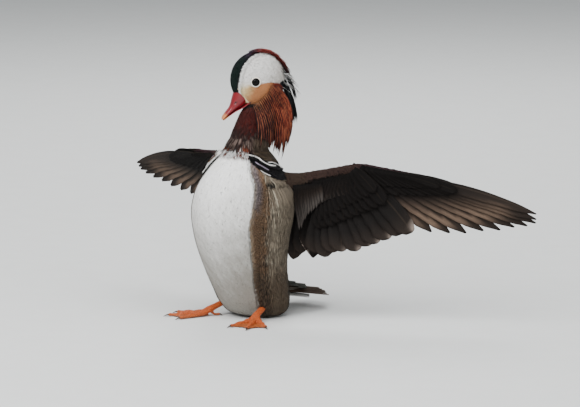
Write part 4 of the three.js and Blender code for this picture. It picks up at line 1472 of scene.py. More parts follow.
    def _grow_area(self, batch: Batch, tuft: Tuft, chosen: Array) -> None:
        """Grows one kind of small feather at the chosen roots."""
        here, up, count = self.roots[chosen], self.normals[chosen], len(chosen)
        scale = 1 + tuft.jitter * self.random.standard_normal((count, 1)).clip(-1.6, 1.6)
        lie = self._lie(here, self.part[chosen], self.where[chosen])
        lie = lie + self.random.standard_normal((count, 3)) * tuft.jitter * 0.7
        centres, ups = [here - up * 0.5], [up]
        step = tuft.length * scale / (tuft.rows - 1)
        for row in range(1, tuft.rows):
            along = unit(lie - up * (lie * up).sum(1, keepdims=True))
            here, out = nearest(self.tree, here + along * step)
            up = unit(up * 0.4 + out)
            centres.append(here + up * tuft.lift * self._rise(row / (tuft.rows - 1), tuft.tip) * scale)
            ups.append(up)
        share = np.linspace(0, 1, tuft.rows)
        widths = tuft.width * scale * np.interp(share, [0, 0.5, 1], [0.6, 1.0, 0.3])
        part, middle = self.part[chosen], centres[round(0.6 * (tuft.rows - 1))]
        part = np.where((part == Part.NECK) & (middle[:, 2] < self.body.throat), Part.TRUNK, part)
        where = np.where((part >= Part.WING_LEFT)[:, None], self.where[chosen], self.body.locate(part, middle))
        tint = Markings.at(part, where, middle) * (1 + tuft.mottle * self.random.standard_normal((count, 1)))
        tint = np.concatenate([tint.clip(0, 1), Markings.barring(part, where)[:, None]], 1)
        tints = np.repeat(tint[:, None], tuft.rows, axis=1)
        shafts = np.stack(centres, 1)
        shafts[..., 2] = np.maximum(shafts[..., 2], self.body.seat)
        blades(batch, shafts, np.stack(ups, 1), widths, widths * 0.03 + 0.04, tints, self.places[chosen])


@dataclass(frozen=True)
class Stripe:
    """One narrow stripe of sleek feathers: its colour, its breadth and its way as turns and heights."""

    hue: Hue
    breadth: float
    way: tuple[Pair, ...]
    lift: float = 1.6


@dataclass
class Shoulder:
    """The black and white stripes that run from the breast to the root of the wing."""

    stripes: tuple[Stripe, ...] = (
        Stripe(Hue.BAR_BLACK, 2.4, ((-46, 184.6), (-25, 182.4), (-19, 178.4), (-6, 174.1), (12, 171.5), (30, 170))),
        Stripe(Hue.BAR_BLACK, 2.4, ((-35, 179), (-29, 176.5), (-23, 173.4), (-15, 169.6), (-4, 163.8))),
        Stripe(Hue.BAR_WHITE, 1.7, ((-52, 188), (-42, 187), (-28, 185), (-19.6, 181), (-7, 176.6), (6, 175)), 2.0),
        Stripe(Hue.BAR_WHITE, 1.2, ((-9, 179.6), (8, 177.6), (28, 170.5)), 2.0),
        Stripe(Hue.BAR_LILAC, 1.6, ((-34, 181), (-30, 178.8), (-21, 175), (-14, 171.8)), 2.0),
        Stripe(Hue.BAR_WHITE, 1.1, ((-28, 172.4), (-22.7, 169.4), (-14, 165.9)), 1.8),
    )
    roll: tuple[Stripe, ...] = (
        Stripe(Hue.BAR_WHITE, 5.0, ((-54, 187), (-47, 183), (-41, 177), (-37, 170), (-35, 163)), 1.0),
        Stripe(Hue.BAR_WHITE, 4.0, ((-48, 188), (-40, 183), (-35, 176), (-31, 169)), 1.4),
        Stripe(Hue.FLANK, 1.2, ((-50, 184), (-43, 179), (-39, 174)), 1.8),
    )
    spacing: float = 1.6
    length: float = 8.0
    puff: float = 2.4
    broader: float = 1.5

    def build(self, body: Body, tree: BVHTree) -> Piece:
        """All the stripes as one mesh."""
        batch, random = Batch(), np.random.default_rng(SEED + 50)
        for side in SIDES:
            for stripe in self.stripes + (self.roll if side == RIGHT else ()):
                self._lay(batch, body, tree, stripe, side, random)
        return batch.build("shoulder_stripes")

    def _lay(
        self, batch: Batch, body: Body, tree: BVHTree, stripe: Stripe, side: int, random: np.random.Generator
    ) -> None:
        """Lays one stripe as short feathers that overlap along its way."""
        turn, high = curve(stripe.way, np.linspace(0, 1, 60)).T
        y, half, belly, back = stations(body.trunk, high).T
        a = np.radians(turn)
        path = coords(side * half * np.cos(a), y + np.where(np.sin(a) < 0, belly, back) * np.sin(a), high)
        gone = np.concatenate([[0], np.cumsum(np.linalg.norm(np.diff(path, axis=0), axis=1))])
        starts = np.repeat(np.arange(-2.0, gone[-1] - self.length * 0.5, self.spacing), 3)
        many = len(starts)
        starts = starts + random.random(many) * self.spacing
        shift = (random.random(many) - 0.5) * stripe.breadth * 0.7
        t = np.linspace(0, 1, 5)
        at = starts[:, None] + t * self.length
        line = np.stack([np.interp(at, gone, path[:, i]) for i in range(3)], -1)
        here, normals = (v.reshape(line.shape) for v in nearest(tree, line.reshape(-1, 3)))
        normals = unit(normals)
        aside = unit(np.cross(normals, np.gradient(line, axis=1)))
        puff = 1.0 if side == LEFT or stripe.hue == Hue.BAR_BLACK else self.puff
        lift = stripe.lift * puff + 0.5 * t + 0.9 * random.random((many, 1))
        centres = here + normals * lift[..., None] + aside * shift[:, None, None]
        widths = stripe.breadth * 0.55 * Outline.PLUME.width(t) * (0.5 + 0.7 * random.random((many, 1)))
        widths = widths * (1.0 if side == LEFT else self.broader)
        tints = np.tile(stripe.hue.light, (*widths.shape, 1)) * (0.94 + 0.12 * random.random((many, 1, 1)))
        place = Atlas.TRUNK.place(((turn[:1] * side + 90) % 360) / 360, high[:1] / TRUNK_FLAT)
        blades(batch, centres, normals, widths, widths * 0.1 + 0.05, tints.clip(0, 1), np.repeat(place, many, axis=0))


class Outline(Enum):
    """A feather's share of its full width at shares of its length."""

    POINTED = ((0, 0.22), (0.15, 0.62), (0.4, 1), (0.75, 0.84), (0.9, 0.6), (1, 0.12))
    ROUNDED = ((0, 0.25), (0.15, 0.7), (0.5, 1), (0.85, 1), (0.95, 0.9), (1, 0.5))
    COVERT = ((0, 0.45), (0.3, 0.85), (0.6, 1), (0.85, 0.95), (0.95, 0.75), (1, 0.3))
    SAIL = ((0, 0.22), (0.35, 0.7), (0.65, 1), (0.85, 0.96), (0.95, 0.68), (1, 0.12))
    PLUME = ((0, 0.5), (0.3, 1), (0.65, 0.85), (0.9, 0.45), (1, 0.05))

    def width(self, t: Array) -> Array:
        """The share of the width at shares t of the length."""
        return stations(self.value, t)[:, 0]


Painter = Callable[[Array, Array, float, int], Array]


@dataclass(frozen=True)
class Row:
    """A row of long feathers on a wing or tail, from the body outwards.

    Roots and tips are places along the row's surface, and the rise is the height over it at both.
    """

    count: int
    roots: tuple[Pair, ...]
    tips: tuple[Pair, ...]
    width: Pair
    rise: Pair
    outline: Outline
    paint: Painter
    lead: Pair = (0.5, 0.5)
    bow: float = 0.0
    step: float = 0.5
    ranks: int = 0
    tilt: Pair = (0.17, 0.11)
    rows: int = 15
    columns: int = 9
    shaft: float = 1.5
    ragged: float = 0.02
    loose: float = 0.5
    sweep: float = 0.28


def between(pair: Pair, share: Array | float) -> Array | float:
    """A value between two others, at a share of the way."""
    return pair[0] + (pair[1] - pair[0]) * share


def long_feathers(
    batch: Batch, place: Callable[[Array], Array], row: Row, random: np.random.Generator, cells: "Cells"
) -> None:
    """Adds a row of long feathers.

    Args:
        batch: where they go.
        place: turns places on the row's surface, with a height, into world points.
        row: the row.
        random: for the small differences between them.
        cells: hands out each feather's own part of the flat sheet.
    """
    sink = row.step * ((row.ranks or row.count) / row.count)
    t = 1 - (1 - np.linspace(0, 1, row.rows)) ** 1.25
    cross = np.linspace(-1, 1, row.columns)
    cross = np.sign(cross) * np.abs(cross) ** 1.2
    for i in range(row.count):
        k = i / (row.count - 1) if row.count > 1 else 0.0
        root = curve((row.roots[0], row.roots[-1]), k)[0]
        tip = curve(row.tips, k)[0] if len(row.tips) > 1 else np.array(row.tips[0], float)
        tip = tip + random.standard_normal(2) * row.loose
        width, lead = between(row.width, k), between(row.lead, k)
        run = tip - root
        middle = (root + tip) / 2 + 2 * row.bow * np.array([run[1], -run[0]])
        at = bow(root, middle, tip, t)
        along = unit((1 - t)[:, None] * (middle - root) + t[:, None] * (tip - middle))
        out = coords(along[:, 1], -along[:, 0])
        column = np.where(cross < 0, cross * (1 - lead), cross * lead)
        edge = 1 + row.ragged * random.standard_normal((row.rows, 2))
        share = row.outline.width(t)[:, None] * np.where(cross[None] < 0, edge[:, :1], edge[:, 1:])
        x = column[None] * width * share
        sweep = np.abs(cross)[None] ** 1.5 * width * row.sweep * share * (0.3 + t[:, None])
        flat = at[:, None] + out[:, None] * x[..., None] + along[:, None] * -sweep[..., None]
        high = between(row.rise, t) - sink * i
        cup = -0.05 * width * (np.abs(cross)[None] ** 2)
        n = high[:, None] + between(row.tilt, t)[:, None] * x + cup
        quill = np.exp(-((cross / 0.1) ** 2))[None] * row.shaft * (1.15 - t[:, None]) / 2
        thick = 0.16 + quill
        faces = [place(np.concatenate([flat, v[..., None]], -1)) for v in (n + thick, n - thick)]
        across = np.broadcast_to(cross / 2 + 0.5, x.shape)
        v = np.broadcast_to(t[:, None], x.shape)
        shade = 1 + 0.05 * random.standard_normal()
        tints = [(row.paint(across, v, k, face) * shade).clip(0, 1) for face in (1, -1)]
        vane_sheet(batch, *faces, *tints, *cells.take())


class Cells:
    """Hands out places on the flat sheet, one after another."""

    def __init__(self, across: int) -> None:
        """Starts a square sheet with so many cells across."""
        self.across, self.next = across, 0

    def take(self) -> tuple[Array, float]:
        """The middle of the next free cell, and its size."""
        up, along = divmod(self.next, self.across)
        self.next += 1
        return np.array([(along + 0.5) / self.across, (up + 0.5) / self.across]), 0.92 / self.across


class Paints:
    """The colours along and across the long feathers. Face 1 is the back of the wing or tail."""

    @staticmethod
    def primary(across: Array, along: Array, k: float, face: int) -> Array:
        """A primary: dark, with a pale stripe down its inner web below, partly the web's own paler colour and partly
        painted light shining through it, and a silvery outer edge above.
        """
        tones = (0.0, Hue.COVERT_BLACK), (0.35, Hue.QUILL), (0.7, Hue.VANE), (0.92, Hue.VANE), (1.0, Hue.QUILL)
        dark = fade(tones, along)
        share = np.interp(k, (0, 0.12, 0.6, 0.85, 1), (0.5, 0.9, 0.9, 0.6, 0.3))
        width = 0.17 - 0.03 * k + 0.24 * ease(along, 0.6, 0.88)
        stripe = fall(across, width - 0.08, width + 0.04) * ease(along, 0.36, 0.68)
        stripe = stripe * fall(along + 0.3 * k * across, 0.84 - 0.08 * k, 0.97 - 0.06 * k)
        # partly painted light: the pale stripe stands in also for light shining through the thin inner web
        colour = blend(dark, Hue.WEB_PALE, stripe * share)
        if face > 0:
            silver = ease(across, 0.72, 0.9) * ease(along, 0.2, 0.45) * fall(along, 0.85, 0.97)
            colour = blend(colour * 0.6, Hue.SILVER, silver * 0.9)
        return colour

    @staticmethod
    def secondary(across: Array, along: Array, k: float, face: int) -> Array:
        """A secondary: near black below with a brown tip, green-blue with a white tip above."""
        if face > 0:
            colour = np.broadcast_to(Hue.QUILL.light, (*along.shape, 3))
            colour = blend(colour, Hue.SPECULUM, ease(across, 0.4, 0.6) * ease(along, 0.3, 0.5))
            return blend(colour, Hue.BAR_WHITE, ease(along, 0.93, 0.95))
        colour = fade(((0.0, Hue.COVERT_BLACK), (0.7, Hue.UNDERWING), (1.0, Hue.VANE)), along)
        end = ease(along, 0.88, 0.96) * ease(across, 0.35, 0.7) * ease(k, 0.15, 0.6)
        return blend(colour, Hue.WEDGE, end * 0.65)

    @staticmethod
    def tertial(across: Array, along: Array, k: float, face: int) -> Array:
        """A tertial: dark brown with a green-blue outer web above."""
        colour = fade(((0.0, Hue.COVERT_BLACK), (0.8, Hue.UNDERWING), (1.0, Hue.VANE)), along)
        return blend(colour, Hue.SPECULUM, ease(across, 0.5, 0.7)) if face > 0 else colour

    @staticmethod
    def sail(across: Array, along: Array, k: float, face: int) -> Array:
        """The sail: orange, with a grey-beige inner side towards the tip and a dark edge."""
        colour = fade(((0.0, Hue.QUILL), (0.35, Hue.SAIL), (1.0, Hue.SAIL)), along)
        colour = blend(colour, Hue.SAIL_PALE, ease(along, 0.7, 0.9) * fall(across, 0.4, 0.6))
        if face < 0:
            end = ease(along, 0.8, 0.86) * ease(np.abs(across - 0.5), 0.15, 0.4)
            colour = blend(Hue.QUILL, Hue.WEDGE, end * 0.8)
        return blend(colour, Hue.SPECULUM, ease(across, 0.95, 1.0))

    @staticmethod
    def covert(across: Array, along: Array, k: float, face: int) -> Array:
        """A covert: near black below, olive brown above, with a slightly paler edge."""
        colour = np.broadcast_to(Hue.COVERT_BLACK.light if face < 0 else Hue.BACK.light, (*along.shape, 3))
        edge = ease(np.abs(across - 0.5), 0.36, 0.5) + ease(along, 0.85, 1.0)
        return blend(colour, Hue.VANE, edge.clip(0, 1) * (0.1 if face < 0 else 0.5))

    @staticmethod
    def fringe(across: Array, along: Array, k: float, face: int) -> Array:
        """A small under covert whose tip is fringed with grey, ever less towards the wrist."""
        colour = fade(((0.0, Hue.COVERT_BLACK), (1.0, Hue.QUILL)), along)
        return blend(colour, Hue.GREY_PATCH, ease(along, 0.88, 0.97) * (0.75 - 0.55 * k))

    @staticmethod
    def axillary(across: Array, along: Array, k: float, face: int) -> Array:
        """A soft grey feather of the armpit, dark at its root."""
        tones = (0.0, Hue.COVERT_BLACK), (0.35, Hue.VANE), (0.7, Hue.GREY_PATCH), (1.0, Hue.GREY_PATCH)
        colour = fade(tones, along)
        return blend(colour, Hue.COVERT_BLACK, ease(np.abs(across - 0.5), 0.2, 0.5) * 0.8)

    @staticmethod
    def rectrix(across: Array, along: Array, k: float, face: int) -> Array:
        """A tail feather: dark olive brown with a paler edge, and redder below."""
        colour = np.broadcast_to((Hue.TAIL if face > 0 else Hue.TAIL_RED).light, (*along.shape, 3))
        return blend(colour, Hue.WEB_PALE, ease(np.abs(across - 0.5), 0.4, 0.5) * 0.3)

    @staticmethod
    def tail_covert(across: Array, along: Array, k: float, face: int) -> Array:
        """A tail covert: dark green-brown."""
        colour = np.broadcast_to(Hue.TAIL.light, (*along.shape, 3))
        return blend(colour, Hue.BACK_GREEN, ease(along, 0.3, 0.8) * 0.6)

    @staticmethod
    def vent_covert(across: Array, along: Array, k: float, face: int) -> Array:
        """An under tail covert: off-white, greyed towards its root by painted shade."""
        return fade(((0.0, Hue.BELLY_PAINTED_SHADE), (1.0, Hue.BELLY)), along)


@dataclass
class Wing:
    """The long feathers and the coverts of one wing."""

    side: int
    primary_roots: Line = ((100, -8), (152, -1))
    primary_tips: Line = ((177, 61), (221, 59.5), (262, 53.5), (292, 47), (295, 37.5))
    secondary_roots: Line = ((54, 28), (92, -6))
    secondary_tips: Line = ((42, 89), (64, 88), (86, 83), (111, 75.5), (131, 70), (155, 62))

    def flight_rows(self) -> list[Row]:
        """Primaries, secondaries, tertials and the sail."""
        return [
            Row(10, self.primary_roots, self.primary_tips, (21, 12), (0, 0), Outline.POINTED, Paints.primary,
                lead=(0.36, 0.24), bow=0.035, rows=18, shaft=0.9),
            Row(10, self.secondary_roots, self.secondary_tips, (23, 22), (0, 0), Outline.ROUNDED, Paints.secondary,
                lead=(0.42, 0.38), bow=0.03, step=0.4, rows=16, sweep=0.12, ragged=0.03, loose=1.5, shaft=0.8),
            Row(3, ((26, 26), (44, 28)), ((19, 96), (33, 84)), (22, 21), (4, 11), Outline.ROUNDED, Paints.tertial,
                lead=(0.5, 0.45), bow=0.02),
            Row(1, ((42, 30),), ((41, 95),), (33, 33), (4, 13), Outline.SAIL, Paints.sail,
                bow=0.02, rows=18, columns=11),
        ]

    def covert_row(
        self, count: int, along: str, reach: float, rise: Pair, width: Pair,
        back: float = 0.0,
    ) -> Row:
        """A row of coverts that lies along the secondaries or primaries for a share of their length."""
        roots = self.primary_roots if along == "primary" else self.secondary_roots
        tips = self.primary_tips if along == "primary" else self.secondary_tips
        k = np.linspace(0, 1, count)
        root, tip = curve((roots[0], roots[-1]), k), curve(tips, k)
        ends = root + (tip - root) * reach
        start = root - (tip - root) * back
        start, ends = tuple(map(tuple, start[[0, -1]])), tuple(map(tuple, ends))
        return Row(
            count, start, ends, width, rise, Outline.COVERT, Paints.covert,
            bow=0.03, step=0.4, ranks=10, rows=9, columns=7, shaft=0.35, sweep=0.15,
        )

    def upper_rows(self) -> list[Row]:
        """The coverts and alula on the back of the wing."""
        return [
            self.covert_row(11, "secondary", 0.5, (3.2, 4.2), (17, 16)),
            self.covert_row(10, "primary", 0.4, (2.4, 4.6), (13, 11)),
            self.covert_row(12, "secondary", 0.3, (4.4, 5.6), (14, 13), 0.1),
            self.covert_row(10, "primary", 0.22, (3.4, 5.2), (11, 9), 0.05),
            Row(3, ((84, -6), (94, -8)), ((114, 5), (120, -1), (124, -5)), (9, 7), (3, 4.5), Outline.COVERT,
                Paints.covert, lead=(0.4, 0.4), bow=0.03, rows=9, columns=7, shaft=0.5),
        ]

    def under_rows(self) -> list[Row]:
        """The coverts under the wing, with the grey feathers of the armpit."""
        small = {"rows": 9, "columns": 7, "shaft": 0.3, "bow": 0.02, "step": 0.12, "tilt": (0.1, 0.06)}
        return [
            self.covert_row(11, "secondary", 0.52, (-3.2, -4.4), (17, 16)),
            self.covert_row(10, "primary", 0.38, (-2.4, -4.6), (13, 11)),
            self.covert_row(12, "secondary", 0.34, (-4.6, -5.4), (14, 13), 0.05),
            self.covert_row(10, "primary", 0.24, (-3.4, -5.0), (11, 9), 0.05),
            Row(15, ((44, 6), (94, -6)), ((43, 38), (54, 28), (74, 22.5), (100, 17)), (9, 8), (-6.6, -6.4),
                Outline.COVERT, Paints.fringe, **small),
            Row(12, ((22, 10), (50, 8)), ((28, 62), (34, 50), (42, 40), (54, 29)), (6.5, 6), (-7.6, -6.6),
                Outline.PLUME, Paints.axillary, ragged=0.12, **small),
        ]

    def build(self) -> list[Piece]:
        """The wing's three meshes: flight feathers, and the coverts of each face."""
        frame = WINGS[self.side]
        random = np.random.default_rng(SEED + 10 + self.side)
        makers = {"flight": self.flight_rows, "upper_coverts": self.upper_rows, "under_coverts": self.under_rows}
        pieces = []
        for label, rows in makers.items():
            batch, cells = Batch(), Cells(8)
            for row in rows():
                long_feathers(batch, frame.place, row, random, cells)
            pieces.append(batch.build(f"wing_{SIDES[self.side]}_{label}"))
        return pieces


@dataclass
class Tail:
    """The tail fan with its coverts above and below."""

    slope_from: float = 30.0
    slope_z: float = 30.0
    drop: float = 0.2
    step: float = 1.25

    def rows(self) -> list[Row]:
        """The rows of one side."""
        flat = {"step": self.step, "tilt": (0.0, 0.0), "columns": 7}
        rectrix, upper = (Outline.ROUNDED, Paints.rectrix), (Outline.COVERT, Paints.tail_covert)
        vent = (Outline.COVERT, Paints.vent_covert)
        return [
            Row(6, ((2.5, 46), (12, 36)), ((4, 106), (15, 104), (27, 95)), (16, 13), (1, 2), *rectrix, **flat),
            Row(4, ((3, 30), (13, 24)), ((5, 80), (20, 66)), (17, 15), (4, 4.5), *upper, **flat),
            Row(4, ((3, 20), (12, 16)), ((6, 62), (18, 52)), (16, 14), (6, 6), *upper, **flat),
            Row(3, ((4, 34), (12, 26)), ((6, 86), (18, 72)), (19, 17), (-7, -7), *vent, **flat),
        ]

    def build(self) -> Piece:
        """The tail's mesh."""
        batch, cells = Batch(), Cells(7)
        random = np.random.default_rng(SEED + 20)
        for side in SIDES:
            lap = self.step / 2 if side == LEFT else 0.0

            def place(local: Array, side: int = side, lap: float = lap) -> Array:
                """World points on one side of the fan."""
                x, y, n = np.moveaxis(local, -1, 0)
                return coords(side * x, y, self.slope_z - self.drop * (y - self.slope_from) + n + lap)

            for row in self.rows():
                long_feathers(batch, place, row, random, cells)
        return batch.build("tail_feathers")


@dataclass
class Ruff:
    """The hackles that fan from the cheeks, short as scales at first and long beside the neck.

    They follow flow lines from the roots to the tips, both given as p and q from front to rear. Each tier
    gives the stretch of the flow lines that its hackles cover, and their width.
    """

    roots: Line = ((-8.8, -28), (-2.2, -24.7), (6.8, -17), (13.4, -9.5), (19, -7), (23, -9))
    tips: Line = ((-8.2, -62), (4, -75), (13, -82), (22, -83), (29, -76), (34.5, -62), (37, -47))
    tiers: Line = (
        (-0.03, 0.11, 1.8), (0.00, 0.18, 1.9), (0.02, 0.28, 2.0), (0.04, 0.40, 2.1), (0.06, 0.53, 2.3),
        (0.09, 0.66, 2.5), (0.12, 0.79, 2.7), (0.15, 0.91, 2.9), (0.18, 1.00, 3.1),
    )
    count: int = 24
    clear: float = 1.6
    stack: float = 0.22
    swell: float = 3.0
    least: float = 11.0
    sink: float = 0.8
    power: int = 6
    twist: float = 8.0

    def reach(self, body: Body, p: Array, q: Array, side: int) -> Array:
        """How far the ruff lies from the head's plane of symmetry."""
        x, y, r = (v.reshape(np.shape(q)) for v in stations(body.neck, np.ravel(HEAD.centre[2] + q)).T)
        local = (coords(x, y, 0) - np.array([*HEAD.centre[:2], 0])) @ HEAD.axes.T
        middle, aside = local[..., 0], side * local[..., 2]
        neck = aside + np.sqrt(np.maximum((r + self.clear) ** 2 - (p - middle) ** 2, 0))
        cheek = HEAD.half_width * np.sqrt(np.maximum(1 - (p**2 + q**2) / HEAD.radius**2, 0))
        k = self.power
        return (np.maximum(neck, 0) ** k + cheek**k + self.least**k) ** (1 / k)

    def flow(self, k: Array, share: Array) -> Array:
        """Points p and q at shares along the flow lines k."""
        root, tip = curve(self.roots, k), curve(self.tips, k)
        run = tip - root
        arch = -np.interp(k, (0, 0.25, 1), (0.05, 0.11, 0.10))[:, None]
        middle = root + run / 2 + 2 * arch * coords(run[:, 1], -run[:, 0])
        return bow(root[:, None], middle[:, None], tip[:, None], share)

    def build(self, body: Body) -> Piece:
        """All the hackles as one mesh."""
        batch, random = Batch(), np.random.default_rng(SEED + 30)
        t = np.linspace(0, 1, 9)
        count, top = self.count, len(self.tiers)
        for side in SIDES:
            for layer, (start, end, width) in enumerate(self.tiers):
                k = ((np.arange(count) + 0.5 + 0.1 * random.standard_normal(count)) / count).clip(0.005, 0.995)
                wander = 0.012 * random.standard_normal((count, 1))
                long = 1 + 0.1 * random.standard_normal((count, 1))
                share = start + wander + (end - start) * long * t
                path = self.flow(k, share)
                height = (top - layer) * self.stack * t**0.7 + self.swell * ease(share, 0.05, 0.7)
                rise = height + self.sink * (np.minimum(t / 0.3, 1) - 1)
                rise = rise + random.random((count, 1)) * 0.4
                out = (self.reach(body, path[..., 0], path[..., 1], side) + rise)[..., None]
                centres, higher = (HEAD.place(np.concatenate([path, side * l], -1)) for l in (out, out + 1))
                twist = np.radians(self.twist) * random.standard_normal((count, 1, 1))
                out = unit(higher - centres)
                run = unit(np.gradient(centres, axis=1))
                normals = unit(out * np.cos(twist) + np.cross(run, out) * np.sin(twist))
                widths = width * (0.85 + 0.3 * random.random((count, 1))) * Outline.PLUME.width(t)
                face = Markings.head(path[..., 0].ravel(), path[..., 1].ravel(), centres.reshape(-1, 3))
                tints = self._tints(k, share, t, random.random(count), face.reshape(centres.shape))
                places = Atlas.RUFF.place(k, np.full(count, (layer + 0.5) / top))
                blades(batch, centres, normals, widths, widths * 0.14 + 0.08, tints, places)
        return batch.build("ruff_hackles")

    @staticmethod
    def _tints(k: Array, share: Array, t: Array, chance: Array, face: Array) -> Array:
        """Rufous hackles that start in the face's colours, maroon at the front, with painted shade at their roots and
        dark ends.
        """
        body = layered(
            Hue.RUFF,
            (Hue.RUFOUS, chance * 0.7),
            (Hue.RUFF_MAROON, fall(k, 0.15, 0.5)),
            (Hue.RUFF_DARK, 0.45 * (chance > 0.8)),
        )
        tints = np.repeat(body[:, None], len(t), axis=1)
        # painted shade: the roots, hidden under the tiers above, are darkened
        tints = blend(tints, Hue.RUFF_DARK, fall(t, 0.05, 0.35)[None] * 0.5 + 0 * share)
        # painted shade: the face's colours at the roots are darkened too
        tints = blend(face * (0.75 + 0.25 * t[:, None]), tints, ease(share, 0.02, 0.24))
        return blend(tints, Hue.RUFF_DARK, ease(share, 0.7, 1.0) * 0.8)


@dataclass
class Crest:
    """The plumes that lie back from the crown over the nape, in tiers."""

    tiers: tuple = (
        (26, (24, 4), (38, -50), 4, (8, 7), 2.5, 2.6, Hue.NAPE, Hue.NAPE),
        (26, (25, 5), (41.5, -52), 4, (7.5, 6), 2.6, 2.6, Hue.NAPE, Hue.NAPE),
        (24, (25, 6), (44.5, -51), 5, (7, 5), 2.7, 2.4, Hue.NAPE, Hue.NAPE),
        (22, (25, 12), (43.5, -26), 3, (7.5, 5.5), 2.2, 2.2, Hue.NAPE, Hue.NAPE),
        (20, (23, 18), (40.5, -8), 2, (6.5, 5), 1.5, 2.1, Hue.COPPER_DARK, Hue.NAPE),
        (20, (19.5, 23.6), (37, 5), 1, (6.5, 5), 1.2, 2.1, Hue.COPPER, Hue.COPPER_DARK),
        (22, (14, 28), (33, 14), 0, (6.5, 5.5), 1.1, 2.2, Hue.COPPER, Hue.COPPER),
        (22, (7, 30.8), (26, 23.6), 0, (6.5, 6.5), 1.3, 2.2, Hue.COPPER, Hue.COPPER),
        (22, (-2, 31.6), (18, 29.2), 0, (6, 6.5), 0.8, 2.2, Hue.COPPER, Hue.COPPER),
        (20, (-9, 30.6), (9, 32.0), 0, (5, 6), 0.3, 2.0, Hue.PURPLE, Hue.COPPER),
    )
    sides: tuple = ((9, (21, 5), (41.5, -3), 9.5), (9, (23, 1), (45, -12), 8.5), (8, (24, -3), (47, -20), 8.0))
    side_width: float = 0.42
    side_lean: float = 60.0

    def build(self) -> Piece:
        """All the plumes as one mesh."""
        batch, random = Batch(), np.random.default_rng(SEED + 40)
        t = np.linspace(0, 1, 9)
        for count, start, end, drop, spread, bulge, width, first, last in self.tiers:
            across = np.linspace(-1, 1, count) + 0.12 * random.standard_normal(count)
            root = coords(start[0], start[1], across * spread[0])
            tip = coords(end[0], end[1] + drop * np.abs(across), across * spread[1])
            root[:, :2] += random.standard_normal((count, 2)).clip(-2, 2) * 0.7
            tip[:, :2] += random.standard_normal((count, 2)).clip(-2, 2) * (0.6, 1.2)
            tint = first.light + (last.light - first.light) * t[:, None]
            tint = np.tile(tint, (count, 1, 1)) * (0.8 + 0.4 * random.random((count, 1, 1)))
            self._lay(batch, root, tip, bulge + 1.5 * random.random(count), width, t, tint, 0)
        for side in SIDES:
            for count, start, end, out in self.sides:
                k = random.random(count)
                root = np.array([*start, side * out]) + random.standard_normal((count, 3)) * (1.4, 1.6, 0.5)
                tip = np.array([*end, side * (out - 4)]) + random.standard_normal((count, 3)) * (1.8, 2.6, 1.0)
                tint = blend(Hue.FACE_WHITE, Hue.NAPE, ease(k, 0.7, 0.8))[:, None] * np.ones((1, len(t), 1))
                lean = side * self.side_lean
                self._lay(batch, root, tip, 3 + random.random(count), self.side_width, t, tint, lean)
        return batch.build("crest_plumes")

    @staticmethod
    def _lay(
        batch: Batch, root: Array, tip: Array, bulge: Array, width: float, t: Array, tints: Array, lean: float
    ) -> None:
        """Lays plumes from roots to tips, with an arch to the back and their faces turned by a lean."""
        run = tip - root
        up = coords(-run[:, 1], run[:, 0]) / np.linalg.norm(run[:, :2], axis=1, keepdims=True)
        middle = (root + tip) / 2
        middle[:, :2] += 2 * bulge[:, None] * up
        local = bow(root[:, None], middle[:, None], tip[:, None], t[None])
        a = np.radians(np.full((len(root), 1), float(lean)))
        normal = np.concatenate([up * np.cos(a), np.sin(a)], -1) @ HEAD.axes
        normals = np.tile(normal[:, None], (1, len(t), 1))
        widths = width * Outline.PLUME.width(t)[None] * np.ones((len(root), 1))
        places = Atlas.HEAD_RIGHT.place(*HEAD.shares(root[:, 0], root[:, 1]))
        blades(batch, HEAD.place(local), normals, widths, widths * 0.16 + 0.1, tints, places)


